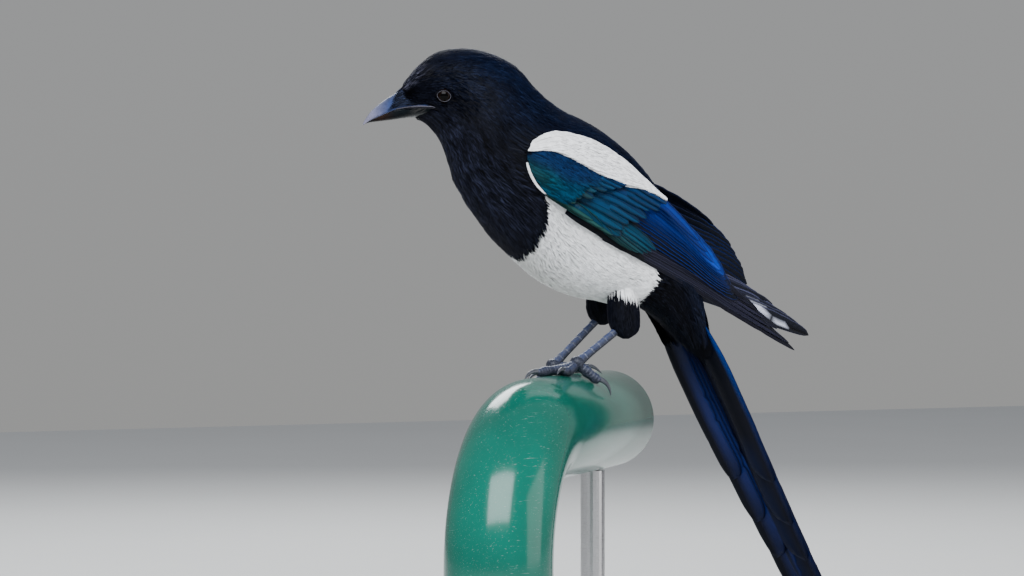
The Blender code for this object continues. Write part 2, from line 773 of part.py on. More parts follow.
def stand():
    """A flat board and two rods, one into each end of the rail."""
    yaw = math.radians(RAIL_YAW)
    points = rail_axis()
    foot_level = -CREST_Z
    board_top = foot_level + BASE_THICK
    bpy.ops.mesh.primitive_cube_add(size=1.0, location=(0.0, 0.0, BASE_THICK / 2 * MM),
                                    rotation=(0.0, 0.0, yaw))
    board = bpy.context.object
    board.name = "stand_base"
    board.scale = (BASE_LENGTH * MM, BASE_WIDTH * MM, BASE_THICK * MM)
    bpy.ops.object.transform_apply(location=False, rotation=False, scale=True)
    bevel = board.modifiers.new("edges", "BEVEL")
    bevel.width = 2.0 * MM
    bevel.segments = 2
    board.data.materials.append(material("board"))
    for owner in list(board.users_collection):
        owner.objects.unlink(board)
    bpy.data.collections["magpie"].objects.link(board)
    low = board_top + GAP
    cylinder("stand_rod_front", points[-1], ROD_RADIUS, low, points[-1][2] - GAP, "rod")
    back = rail_point(ROD_BACK_AT, 0.0, 0.0)
    cylinder("stand_rod_back", back, ROD_RADIUS, low, -2 * RAIL_RADIUS - GAP, "rod")


def build():
    start()
    head()
    body_part("neck", NECK_AT, TORSO_AT, "black", 5)
    body_part("torso", TORSO_AT, TAIL_AT, "black", 18)
    tail()
    for side in (-1, 1):
        wing(side)
        thigh(side)
        tarsus(side)
        foot(side)
    rail_shape("perch_rail", RAIL_RADIUS, "magpie")
    stand()


build()
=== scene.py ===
"""Eurasian magpie gripping a cut length of bent green rail: skin, feathers, finishes, light and camera.

Places on the bird are in millimetres from the rail's crest under the feet, as in the solids.
The bird heads along -X and its left side is at -Y.
"""
import math

import bmesh
import bpy
import numpy as np
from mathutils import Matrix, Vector
from mathutils.kdtree import KDTree


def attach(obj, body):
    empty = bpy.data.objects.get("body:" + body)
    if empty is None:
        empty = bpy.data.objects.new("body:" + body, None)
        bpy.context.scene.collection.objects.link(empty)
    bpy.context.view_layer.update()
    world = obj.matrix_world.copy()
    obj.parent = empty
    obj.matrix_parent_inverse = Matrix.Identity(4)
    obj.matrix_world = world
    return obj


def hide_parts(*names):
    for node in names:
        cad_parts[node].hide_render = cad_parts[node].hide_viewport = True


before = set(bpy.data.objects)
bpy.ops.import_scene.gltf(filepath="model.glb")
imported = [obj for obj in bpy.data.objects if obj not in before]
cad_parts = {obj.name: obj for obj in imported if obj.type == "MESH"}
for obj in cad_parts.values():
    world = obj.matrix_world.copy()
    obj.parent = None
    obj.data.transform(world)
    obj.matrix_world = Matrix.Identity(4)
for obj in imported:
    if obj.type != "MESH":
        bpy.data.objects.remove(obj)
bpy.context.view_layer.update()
bpy.ops.object.select_all(action="DESELECT")

MM = 0.001
CREST = np.array((10.0, 32.0, 175.0))
BODY = "root"
CHANCE = np.random.default_rng(41)
SIDES = ((-1, "left"), (1, "right"))
STRAND_RUN = np.linspace(0, 1, 4)[None, :]

# sizes shared with the solids
RAIL_RADIUS = 24.15
RAIL_YAW = 44.0
RAIL_BACK = 70.0
RAIL_BEND_START = 68.0
RAIL_BEND_RADIUS = 58.0
RAIL_DROP = 112.0
RAIL_AXIS = np.array((math.cos(math.radians(RAIL_YAW)), math.sin(math.radians(RAIL_YAW)), 0.0))
RAIL_SIDE = np.array((RAIL_AXIS[1], -RAIL_AXIS[0], 0.0))
HEAD_X = -59.8
HEAD_Y = 4.0
HEAD_YAW = 25.0


def head_place(forward, height):
    """A point on the head's own median plane."""
    yaw = math.radians(HEAD_YAW)
    return (HEAD_X - forward * math.cos(yaw), HEAD_Y + forward * math.sin(yaw), height)


# body sections: x, y, z of the centre, yaw, pitch, height above, height below, half width
SECTIONS = np.array([
    (*head_place(28.0, 131.8), HEAD_YAW, 4, 3.4, 3.6, 3.6),
    (*head_place(25.2, 131.4), HEAD_YAW, 4, 7.6, 6.6, 6.4),
    (*head_place(19.5, 132.6), HEAD_YAW, 6, 14.2, 12.4, 11.0),
    (*head_place(11.5, 133.2), HEAD_YAW, 8, 19.6, 17.6, 14.6),
    (*head_place(0.0, 130.5), HEAD_YAW, 17, 24.0, 23.5, 17.0),
    (*head_place(-10.5, 122.5), 20, 30, 28.2, 29.5, 20.0),
    (-42.5, 0.3, 111.5, 12, 40, 30.5, 31.5, 24.5),
    (-33.5, 0, 101.5, 4, 43, 34.0, 33.0, 28.5),
    (-22.0, 0, 92.5, 0, 42, 38.5, 34.0, 31.5),
    (-8.5, 0, 82.0, 0, 40, 41.0, 35.8, 33.0),
    (5.5, 0, 72.0, 0, 40, 40.5, 36.6, 33.0),
    (19.5, 0, 62.0, 0, 40, 37.0, 33.5, 31.5),
    (33.5, 0, 53.0, 0, 44, 31.0, 26.0, 28.0),
    (46.5, 0, 42.5, 0, 52, 23.5, 18.5, 24.5),
    (56.0, 0, 29.0, 0, 60, 14.5, 12.5, 21.5),
    (63.5, 0, 13.0, 0, 62, 8.5, 7.5, 18.0),
    (70.5, 0, -3.0, 0, 62, 3.5, 3.5, 12.0),
], dtype=float)
LAST_AT = len(SECTIONS) - 1.0
SKIN_END = 14.9
EYE_AT = 3.36
EYE_ANGLE = 96.0
EYE_RADIUS = 4.2
EYE_SUNK = 3.1
IRIS_RADIUS = 3.3
PUPIL_RADIUS = 1.9
LID_INNER = 2.80
# across the ring round the eye: radius, and height over the eyeball's edge
LID_PROFILE = ((LID_INNER, 0.10), (2.84, 0.28), (2.91, 0.36), (2.99, 0.32), (3.12, 0.08), (3.40, -0.40),
               (3.9, -1.0), (3.6, -1.7), (2.9, -1.2))
LID_OUTER = 3.75
# forward, culmen, mouth line, lower edge, half width
BEAK = np.array([
    (10.0, 130.0, 125.0, 122.0, 8.0),
    (13.5, 132.6, 125.7, 121.9, 11.0),
    (16.0, 134.0, 125.7, 121.8, 11.6),
    (18.0, 135.0, 125.9, 121.7, 10.95),
    (20.0, 135.8, 125.9, 121.6, 9.7),
    (22.0, 136.0, 125.8, 121.5, 8.1),
    (24.0, 135.8, 125.7, 121.4, 6.8),
    (27.0, 134.8, 125.4, 121.0, 5.7),
    (31.0, 132.2, 124.6, 120.4, 4.7),
    (35.0, 129.6, 122.9, 119.9, 3.7),
    (39.0, 126.6, 121.2, 119.4, 2.75),
    (41.5, 124.2, 120.1, 119.1, 2.1),
    (43.4, 121.7, 119.0, 118.6, 1.45),
    (44.5, 120.0, 118.2, 118.1, 0.9),
    (45.2, 118.6, 117.9, 117.9, 0.35),
])
# the lips' half width by their place forward
LIP_AT = (10.0, 12.0, 14.0, 16.0, 18.0, 20.0, 22.0, 24.0, 27.0, 31.0)
LIP_HALF = (13.7, 13.4, 12.85, 12.0, 11.15, 9.9, 8.2, 6.85, 5.75, 4.75)
WRIST = np.array((-39.0, 0.0, 102.0))
WING_PITCH = 29.3
WING_BULGE = np.array([(0, 29.0), (20, 34.5), (45, 36.0), (70, 34.0), (100, 26.5),
                       (137, 16.5), (192, 8.0)])
WING_LEVEL = 38.0
WING_MIDDLE = -3.0
FAR_WING_BACK = 9.0
FAR_WING_LIFT = 4.0
TAIL_BASE = (52.0, 0.0, 44.0)
TAIL_YAW = 6.0
TAIL_DOWN = 59.5
TAIL_LENGTHS = (225.0, 207.0, 186.0, 163.0, 141.0, 115.0)
TAIL_WIDTHS = (25.0, 22.0, 21.0, 20.0, 19.0, 18.0)
TAIL_OFFSETS = (1.5, 9.0, 10.0, 11.0, 12.2, 13.4)
# how the offsets widen by the place along the tail
TAIL_ALONG = (18, 50, 80, 110, 150)
TAIL_SPREAD = (1.12, 1.30, 1.28, 1.14, 1.02)
# by side: left -1, right 1
FOOT = {-1: np.array((-6.5, -13.0, 5.2)), 1: np.array((0.4, 14.0, 6.4))}
ANKLE = {-1: np.array((26.0, -15.5, 28.0)), 1: np.array((29.0, 14.5, 31.0))}
TROUSER = {-1: np.array((19.5, -15.5, 34.0)), 1: np.array((23.5, 14.5, 35.5))}
# back, outward, up and radius of the soft feathers round a leg's top
TROUSER_COAT = ((0.5, -2.0, 12.0, 5.5), (0.0, -1.0, 6.0, 6.9), (-0.3, 0.0, 0.0, 7.6), (0.0, 0.0, -6.0, 7.8),
                (0.7, 0.0, -11.0, 7.2), (1.0, 0.0, -14.5, 5.4), (1.2, 0.0, -17.0, 1.4))
# the flank's white lies over the left leg's feathers above this slanting line
FLANK_EDGE_HIGH = 41.9
FLANK_EDGE_FALL = 0.42
FLANK_EDGE_FRONT = 3.9
TARSUS_RADIUS = 2.0
HUB_LIFT = 6.0
TOE_LANDING = 9.0
# how thick a toe is at its joints: share of its length, share of its radius
KNUCKLES = ((0, 0.2, 0.4, 0.6, 0.8, 1.0), (1.0, 0.86, 0.98, 0.8, 0.92, 0.62))
# each toe's turn from the bird's heading, length, radius and the claw's reach
TOES = {
    -1: {"inner": (-8.0, 17.0, 2.5, 8.5), "middle": (13.0, 23.5, 2.7, 10.0),
         "outer": (38.0, 16.0, 2.4, 8.0), "hind": (152.0, 11.5, 2.8, 9.0)},
    1: {"inner": (20.0, 16.0, 2.5, 8.5), "middle": (-4.0, 21.5, 2.7, 9.5),
        "outer": (-28.0, 16.0, 2.4, 8.0), "hind": (166.0, 13.0, 2.8, 10.5)},
}
# how far the skin lies under the coat's surface, by the place along the body
COAT_DEPTH = ((0.0, 2.0, 4.0, 6.0, 9.0, 14.0, 16.0), (0.5, 0.7, 1.2, 1.9, 2.4, 2.2, 1.0))
# how far the coat stands off the solids under the throat and belly, and round the vent
THROAT_AT = (1.6, 2.5, 3.2, 4.0, 4.5, 5.0, 5.8, 6.5, 7.3, 8.2, 9.0, 9.9, 10.5, 11.1, 11.5, 12.0, 12.6)
THROAT_GROW = (0.0, -2.0, -1.3, 1.0, 0.8, -0.6, -2.8, -3.8, -2.8, -1.2, -1.8, -1.7, -2.2, -2.5, -1.6,
               -1.2, 0.0)
VENT_ROWS = (12.4, 13.0, 13.5, 14.0, 14.5, 15.0, 15.6, 16.0)
VENT_GROW = (0.0, -2.8, -6.0, -7.4, -8.4, -9.0, -9.0, -9.0)
# the white's borders: places along the body by angle from the back
BIB_ANGLES = (0, 105, 111, 117, 126, 138, 153, 168, 180)
BIB_AT = (7.4, 7.5, 7.85, 8.2, 8.48, 8.75, 8.95, 9.05, 9.15)
VENT_ANGLES = (0, 96, 105, 117, 132, 150, 168, 180)
VENT_AT = (11.4, 11.85, 12.3, 12.45, 12.6, 12.75, 13.0, 13.0)
# strands are cut short beside the white's borders
BORDER_FULL = 0.8
BORDER_SHORTEST = 0.42
# how far strands lean to the middle of their tuft
GATHER = 0.35
# strands past the body's last section run on along the tail, this far for each row
BEYOND_STEP = 17.0
BEYOND_RUN = (0.47, 0.0, -0.88)
# most triangles in one piece of strands
TRIANGLES_MOST = 190000
# side of a tuft's patch on the bake map
PATCH = 0.003
# what a folded wing covers of the body: its lower and upper edge by the place along it
WING_LOW = ((0, 11, 32, 65, 90, 114), (-2, -6, -9, -8.5, -5, -2))
WING_HIGH = ((0, 20, 55, 95), (14, 20, 20, 14))
# the lesser coverts' lower and upper edge, and where navy begins
LESSER_LOW = ((-4.5, -3, 0, 2, 11, 24, 34), (1.5, -2.0, -5.0, -7.0, -11.5, -12.5, -9.0))
LESSER_HIGH = ((-6, 0, 9, 16, 25, 36), (4.0, 6.0, 8.0, 9.0, 9.0, 9.5))
LESSER_NAVY = ((-6, 9, 17, 24.5, 32.5), (-3.0, -3.5, -1.5, 2.0, 7.0))
# the far wing's secondaries: places of their tips by share of the row
FAR_TIP_ALONG = ((0, 0.3, 0.6, 1), (151.5, 150, 145.3, 131.5))
FAR_TIP_ACROSS = ((0, 0.3, 0.6, 1), (8.8, 13.3, 17.6, 22.3))
# along and across places of the thin white line in front of the wing
FRONT_EDGE = np.array(((-6.0, 1.0), (-4.4, -2.4), (-1.6, -6.0), (2.0, -9.2), (7.0, -12.0), (13.0, -13.6)))
# how far the soft feathers run along the tail by the place across, and how thick they lie
UNDER_TAIL_REACH = ((-18, -13, -8, -2, 6, 13, 18), (34, 49, 51, 43, 35, 27, 17))
OVER_TAIL_REACH = ((0, 8, 12), (62, 48, 24))
TAIL_ROOT_THICK = ((0, 14, 34, 50, 64), (15, 9.0, 4.6, 3.0, 2.4))
# along and across places on the wing that the body's feathers reach up to
SHOULDER_EDGE = np.array(((9.0, -12.6), (4.0, -10.0), (0.5, -7.0), (-2.6, -3.5), (-4.4, 0.0), (-4.6, 4.0),
                          (-2.0, 8.5), (3.0, 13.0), (9.5, 15.6), (20.0, 18.0), (33.0, 19.6), (44.0, 19.0),
                          (55.0, 17.6), (64.0, 16.0)))
# the white shoulder patch's upper and lower edge by the place along the wing
SCAPULAR_ALONG = (-5.5, -2.5, 2, 9.5, 20, 33, 44, 55, 65, 76)
SCAPULAR_TOP = (4.5, 9.0, 13.0, 16.0, 18.6, 20.2, 19.5, 18.0, 16.2, 15.6)
SCAPULAR_LOW = (0.0, 1.5, 4.5, 6.0, 6.3, 7.0, 9.0, 12.3, 14.6, 15.2)
# white ovals on the far wing's primaries: along, across, half length, half width
FAR_OVALS = ((160.5, 2.8, 7.4, 1.8), (176.6, 0.3, 5.6, 1.3), (143.0, -4.8, 7.0, 1.6))
CAMERA_PLACE = (-0.71494, -1.16604, 0.21628)
CAMERA_TURN = -30.0
CAMERA_LENS = 102.5

# colours, linear
BLACK = (0.0024, 0.0028, 0.0052)
INK = (0.0016, 0.0028, 0.008)
DEEP_BLUE = (0.0006, 0.020, 0.105)
NAVY = (0.012, 0.022, 0.062)
TEAL = (0.001, 0.030, 0.062)
SEA_GREEN = (0.009, 0.044, 0.042)
PETROL = (0.0006, 0.024, 0.085)
COBALT = (0.0002, 0.031, 0.275)
WHITE = (0.860, 0.865, 0.880)
CREAM = (0.700, 0.690, 0.640)

# painted sheen: navy laid into the back's black as a painted reflection of the sky
BACK_SHEEN_NAVY = (0.0016, 0.0037, 0.0125)
# painted highlight: lavender streaks on some of the throat's strands
THROAT_HIGHLIGHT_STREAK = (0.014, 0.016, 0.034)
# painted highlight: grey streaks on some of the brow's strands
BROW_HIGHLIGHT_STREAK = (0.065, 0.065, 0.095)
LEG_DARK = (0.009, 0.0105, 0.018)
# painted sheen: blue grey laid on the fronts of the legs and the tops of the toes
LEG_SHEEN_BLUE = (0.038, 0.055, 0.138)
LEG_JOINT = (0.12, 0.13, 0.17)
# how much of the blue the far wing shows
FAR_BLUE = 0.18
# rows of wing coverts: first and last root, tips, number, half width, height of the first, step up,
# lower web's first and last colour, upper web's, rim, the tip's roundness, where it begins, lower web's share
COVERT_ROWS = (
    (((26, -14.5), (34, -13)), ((66, -14.5), (76, -12.5)), 3, 2.6, -0.4, 0.3,
     (INK, INK), (INK, INK), BLACK, 1.6),
    (((34, -10), (40, -5)), ((66, -12.5), (73, -10.5), (77, -6.0)), 6, 3.1, 1.2, 0.36,
     (SEA_GREEN, TEAL), (TEAL, TEAL), TEAL, 1.7, 0.5),
    (((20, -11), (20, 11)), ((54, -10.0), (56, -5.5), (61.5, 0), (64, 6), (70, 10.5), (75, 14.5)),
     9, 3.9, 2.8, 0.48, (TEAL, PETROL), (TEAL, DEEP_BLUE), TEAL),
    (((12, -11.5), (16, -11.5)), ((50, -12.0), (38, -11.5)), 3, 3.0, 3.0, 0.4,
     (SEA_GREEN, SEA_GREEN), (TEAL, TEAL), SEA_GREEN, 1.7),
    (((11, -8.5), (14, 8)), ((25, -9.5), (30, -4), (34, 1), (42, 6), (46, 9)), 8, 3.4, 4.2, 0.36,
     (SEA_GREEN, PETROL), (TEAL, DEEP_BLUE), TEAL, 2.0, 0.55, 0.9),
)


# body shape
def unit(rows):
    """Directions of length one."""
    return rows / np.maximum(np.linalg.norm(rows, axis=-1, keepdims=True), 1e-9)


def ramp(value, start, reach_on):
    """Nothing up to the start, rising evenly to one over the reach."""
    return np.clip((value - start) / reach_on, 0, 1)


def hump(value, middle, spread):
    """One at the middle, falling softly to both sides."""
    return np.exp(-((value - middle) / spread) ** 2)


def mix(first, second, share):
    """The first colour turning into the second by share."""
    return np.array(first) * (1 - share) + np.array(second) * share


def vary(low, high, count):
    """A chance value for each strand, beside its rows."""
    return CHANCE.uniform(low, high, count)[:, None]


def smooth_rows(table, at):
    """Catmull-Rom reading of a table's rows at running row numbers."""
    at = np.clip(at, 0.0, len(table) - 1 - 1e-6)
    row = at.astype(int)
    part = (at - row)[..., None]
    padded = np.vstack((2 * table[0] - table[1], table, 2 * table[-1] - table[-2]))
    before, first, second, beyond = (padded[row + step] for step in range(4))
    return 0.5 * (2 * first + (second - before) * part
                  + (2 * before - 5 * first + 4 * second - beyond) * part ** 2
                  + (3 * first - before - 3 * second + beyond) * part ** 3)


def body_points(at, angle, grow=0.0):
    """Points on the body; angle 0 is the back and 90 the left side."""
    at, angle, grow = np.broadcast_arrays(np.asarray(at, float), np.asarray(angle, float), grow)
    row = smooth_rows(SECTIONS, at)
    yaw = np.radians(row[..., 3])
    pitch = np.radians(row[..., 4])
    level = np.zeros_like(yaw)
    up = np.stack((np.sin(pitch) * np.cos(yaw), -np.sin(pitch) * np.sin(yaw), np.cos(pitch)), -1)
    left = np.stack((-np.sin(yaw), -np.cos(yaw), level), -1)
    turn = np.radians(angle)
    height = np.where(np.cos(turn) > 0, row[..., 5], row[..., 6]) + grow
    return (row[..., :3] + up * (height * np.cos(turn))[..., None]
            + left * ((row[..., 7] + grow) * np.sin(turn))[..., None])


def coat_depth(at):
    """How far the skin lies under the coat's surface."""
    return np.interp(at, *COAT_DEPTH)


def coat_top(at, angle):
    """How far the coat's outside stands off the solids: proud on the brow, close on throat and vent."""
    off = off_back(angle)
    brow = 0.3 * hump(at, 1.05, 0.55) * np.clip((75 - off) / 30, 0, 1)
    throat = np.interp(at, THROAT_AT, THROAT_GROW) * ramp(off, 110, 40)
    vent = np.interp(at, VENT_ROWS, VENT_GROW) * ramp(off, 85, 30)
    return 0.25 + brow + throat + vent


def head_points(forward, side, height):
    """From head sizes to bird millimetres; side is to the bird's left."""
    yaw = math.radians(HEAD_YAW)
    forward, side, height = np.broadcast_arrays(np.asarray(forward, float), side, height)
    x = HEAD_X - forward * math.cos(yaw) - side * math.sin(yaw)
    y = HEAD_Y + forward * math.sin(yaw) - side * math.cos(yaw)
    return np.stack((x, y, height), -1)


def head_sizes(points):
    """From bird millimetres to forward, side and height on the head."""
    yaw = math.radians(HEAD_YAW)
    x = points[..., 0] - HEAD_X
    y = points[..., 1] - HEAD_Y
    return (-x * math.cos(yaw) + y * math.sin(yaw), -x * math.sin(yaw) - y * math.cos(yaw), points[..., 2])


def eye_place(side):
    """Centre of an eyeball and the direction it faces."""
    skin = body_points(EYE_AT, side * EYE_ANGLE)
    middle = smooth_rows(SECTIONS, np.array(EYE_AT))[:3]
    outward = (skin - middle) / np.linalg.norm(skin - middle)
    return skin - outward * EYE_SUNK, outward


def wing_points(side, along, across, height):
    """Points over the folded wing: along from the wrist, across upwards, height outwards."""
    along, across, height = np.broadcast_arrays(np.asarray(along, float), across, height)
    pitch = math.radians(WING_PITCH if side < 0 else WING_PITCH - FAR_WING_LIFT)
    place = along + (0.0 if side < 0 else FAR_WING_BACK)
    x = WRIST[0] + place * math.cos(pitch) + across * math.sin(pitch)
    z = WRIST[2] - place * math.sin(pitch) + across * math.cos(pitch)
    bulge = np.interp(along, WING_BULGE[:, 0], WING_BULGE[:, 1])
    level = (across - WING_MIDDLE + 0.05 * along) / WING_LEVEL
    y = bulge * np.sqrt(np.maximum(0.04, 1 - level ** 2))
    lean = bulge / WING_LEVEL * level
    height = height / np.sqrt(1 + lean ** 2)
    return np.stack((x + height * lean * math.sin(pitch), side * (y + height),
                     z + height * lean * math.cos(pitch)), -1)


def wing_place(side, points):
    """Along and across places of points beside a wing."""
    pitch = math.radians(WING_PITCH if side < 0 else WING_PITCH - FAR_WING_LIFT)
    shift = 0.0 if side < 0 else FAR_WING_BACK
    x = points[..., 0] - WRIST[0]
    z = points[..., 2] - WRIST[2]
    return x * math.cos(pitch) - z * math.sin(pitch) - shift, x * math.sin(pitch) + z * math.cos(pitch)


def tail_points(along, across, height):
    """Points on the tail: along from its root, across to the bird's right, height off its upper face."""
    along, across, height = np.broadcast_arrays(np.asarray(along, float), across, height)
    down = math.radians(TAIL_DOWN)
    yaw = math.radians(TAIL_YAW)
    flat = along * math.cos(down) + height * math.sin(down)
    z = TAIL_BASE[2] - along * math.sin(down) + height * math.cos(down)
    x = TAIL_BASE[0] + flat * math.cos(yaw) - across * math.sin(yaw)
    y = TAIL_BASE[1] + flat * math.sin(yaw) + across * math.cos(yaw)
    return np.stack((x, y, z), -1)


def rail_points(along, angle, radius):
    """Points about the rail's straight part; angle 0 is the crest."""
    along, angle, radius = np.broadcast_arrays(np.asarray(along, float), angle, radius)
    up = np.array((0.0, 0.0, 1.0))
    return (RAIL_AXIS * along[..., None] - up * RAIL_RADIUS
            + RAIL_SIDE * (radius * np.sin(angle))[..., None] + up * (radius * np.cos(angle))[..., None])


def rail_place(point):
    """How far along the rail a point lies, and its angle from the crest."""
    along = point[0] * RAIL_AXIS[0] + point[1] * RAIL_AXIS[1]
    side = point[0] * RAIL_SIDE[0] + point[1] * RAIL_SIDE[1]
    return along, math.asin(side / RAIL_RADIUS)


def from_rail(points):
    """The way from the rail's axis straight out to each point."""
    away = points + np.array((0.0, 0.0, RAIL_RADIUS))
    return away - (away @ RAIL_AXIS)[..., None] * RAIL_AXIS


# markings
def off_back(angle):
    """Degrees from the middle of the back, the same on both sides."""
    return np.abs((angle + 180.0) % 360.0 - 180.0)


def white_share(at, angle):
    """How white the body is at a place: the belly and flanks behind the bib."""
    off = off_back(angle)
    bib = np.interp(off, BIB_ANGLES, BIB_AT)
    vent = np.interp(off, VENT_ANGLES, VENT_AT)
    return ((at > bib) & (at < vent) & (off > 84.0)).astype(float)


def painted_throat_highlight(at, off):
    """Painted highlight: the throat's feathers are painted a little paler than the rest of the head."""
    return (ramp(off, 105, 40) * ramp(at, 2.4, 1.5) * np.clip((9 - at) / 2, 0, 1))[..., None]


def border_gap(at, angle):
    """How far a place lies from the nearer border of the white, along the body."""
    off = off_back(angle)
    bib = np.interp(off, BIB_ANGLES, BIB_AT)
    vent = np.interp(off, VENT_ANGLES, VENT_AT)
    return np.minimum(np.abs(at - bib), np.abs(at - vent)) + 2.0 * (off < 84.0)


def body_tint(at, angle, count):
    """A colour for each place on the body, with small differences between feathers."""
    white = white_share(at, angle)[..., None]
    off = off_back(angle)
    low = ramp(off, 140.0, 40.0)[..., None]
    pale = np.array(WHITE) * (1 - 0.55 * low) + np.array(CREAM) * 0.55 * low
    # painted sheen: the back turns navy toward its middle
    back = np.clip((100 - off) / 60.0, 0.0, 1.0) * ramp(at, 2.5, 2.0)
    back = back[..., None]
    dark = mix(BLACK, BACK_SHEEN_NAVY, back)
    lores = np.exp(-((at - 1.35) / 0.55) ** 2 - ((off - 86.0) / 26.0) ** 2)[..., None]
    brow = (hump(at, 1.35, 0.7) * np.clip((78 - off) / 26, 0, 1))[..., None]
    # the lores are darker; the throat is painted paler as a highlight
    dark = dark * (1 - 0.75 * lores) * (1 + 0.3 * painted_throat_highlight(at, off))
    rump = (hump(at, 12.3, 0.35) * (off < 26))[..., None]
    dark = dark * (1 - 0.6 * rump) + np.array((0.20, 0.20, 0.21)) * 0.6 * rump
    shade = CHANCE.normal(1.0, 0.10, count)[:, None]
    throat = (ramp(off, 95, 40) * ramp(at, 2.0, 1.5))[..., None]
    spread = 0.42 + 0.35 * throat + 0.8 * brow
    fleck = np.exp(spread * CHANCE.normal(0.0, 1.0, count)[:, None])
    chosen = vary(0, 1, count)
    dark = dark * np.clip(fleck, 0.3, 2.6)
    # painted highlights: a quarter of the throat's strands get lavender streaks
    dark = dark + (chosen < 0.26) * painted_throat_highlight(at, off) * np.array(THROAT_HIGHLIGHT_STREAK)
    # painted highlights: grey streaks on some of the brow's strands
    dark = dark + (chosen > 0.84) * brow * np.array(BROW_HIGHLIGHT_STREAK)
    return np.clip(pale * (0.94 + 0.06 * shade) * white + dark * (1 - white), 0, 0.95)


def trouser_rows(side, table):
    """Rows of the soft feathers round one leg's top; the right leg's are drawn up higher."""
    rows = np.array([(back, side * outward, up, radius) for back, outward, up, radius in table])
    if side > 0:
        rows[:, 2] = np.where(rows[:, 2] < 0, rows[:, 2] * 0.72, rows[:, 2])
        rows[:, 3] *= 0.9
        rows[:, 0] += 1.6
    rows[:, :3] += TROUSER[side]
    return rows


# meshes
def lay_mesh(name, points, loops, starts, finish, tint=None, maps=None):
    """A mesh object from bird millimetres with its colours and UV maps."""
    mesh = bpy.data.meshes.new(name)
    mesh.vertices.add(len(points))
    mesh.vertices.foreach_set("co", ((points + CREST) * MM).astype(np.float32).ravel())
    mesh.loops.add(len(loops))
    mesh.loops.foreach_set("vertex_index", loops.astype(np.int32))
    mesh.polygons.add(len(starts))
    mesh.polygons.foreach_set("loop_start", starts.astype(np.int32))
    mesh.update(calc_edges=True)
    mesh.validate()
    mesh.polygons.foreach_set("use_smooth", np.ones(len(starts), dtype=bool))
    for map_name, places in (maps or {}).items():
        layer = mesh.uv_layers.new(name=map_name)
        layer.uv.foreach_set("vector", places[loops].astype(np.float32).ravel())
    mesh.materials.append(finish)
    piece = bpy.data.objects.new(name, mesh)
    if tint is not None:
        point_tint(piece, tint)
    bpy.context.scene.collection.objects.link(piece)
    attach(piece, BODY)
    return piece


def lay_rings(name, rings, finish, tint=None, maps=None):
    """Closed forms from rings (form, ring, corner, place), which run left, over the top and back."""
    forms, rows, corners, _ = rings.shape
    first = (np.arange(forms) * rows * corners)[:, None, None]
    row = (np.arange(rows - 1) * corners)[None, :, None]
    corner = np.arange(corners)[None, None, :]
    after = (np.arange(corners) + 1) % corners
    here = first + row + corner
    beside = first + row + after[None, None, :]
    sides = np.stack((here, beside, beside + corners, here + corners), -1).reshape(-1)
    begin = (first[:, :, 0] + np.arange(corners)[::-1][None, :]).reshape(-1)
    end = (first[:, :, 0] + (rows - 1) * corners + np.arange(corners)[None, :]).reshape(-1)
    loops = np.concatenate((sides, begin, end))
    quads = forms * (rows - 1) * corners
    starts = np.concatenate((np.arange(quads) * 4, quads * 4 + np.arange(2 * forms) * corners))
    flat = None if tint is None else np.broadcast_to(tint, rings.shape[:3] + (3,)).reshape(-1, 3)
    flat_maps = {key: place.reshape(-1, 2) for key, place in (maps or {}).items()}
    return lay_mesh(name, rings.reshape(-1, 3), loops, starts, finish, flat, flat_maps)


# finishes
class Wiring:
    """Short calls that add and join the nodes of one node tree."""

    def __init__(self, tree):
        self.nodes = tree.nodes
        self.links = tree.links

    def feed(self, socket, value):
        """Set a socket, or link another node's output to it."""
        if isinstance(value, bpy.types.NodeSocket):
            self.links.new(value, socket)
        else:
            socket.default_value = value

    def add(self, kind, inputs=None, **values):
        """Add a node, set what it holds and feed its sockets."""
        node = self.nodes.new("ShaderNode" + kind)
        for key, value in values.items():
            setattr(node, key, value)
        for key, value in (inputs or {}).items():
            self.feed(node.inputs[key], value)
        return node

    def noise(self, vector, scale, detail=3.0, roughness=0.55):
        """A soft random pattern."""
        inputs = {"Vector": vector, "Scale": scale, "Detail": detail, "Roughness": roughness}
        return self.add("TexNoise", inputs).outputs["Fac"]

    def reach(self, value, *limits):
        """Carry a value from the first two limits to the last two."""
        return self.add("MapRange", dict(enumerate((value, *limits)))).outputs[0]

    def maths(self, operation, *values):
        """One step of arithmetic."""
        return self.add("Math", dict(enumerate(values)), operation=operation).outputs[0]

    def times(self, first, second):
        """Both values multiplied."""
        return self.maths("MULTIPLY", first, second)

    def blend(self, share, first, second, way="MIX"):
        """Two colours in one, by share."""
        first, second = ((*end, 1.0) if isinstance(end, tuple) else end for end in (first, second))
        return self.add("Mix", {0: share, 6: first, 7: second}, data_type="RGBA", blend_type=way).outputs[2]


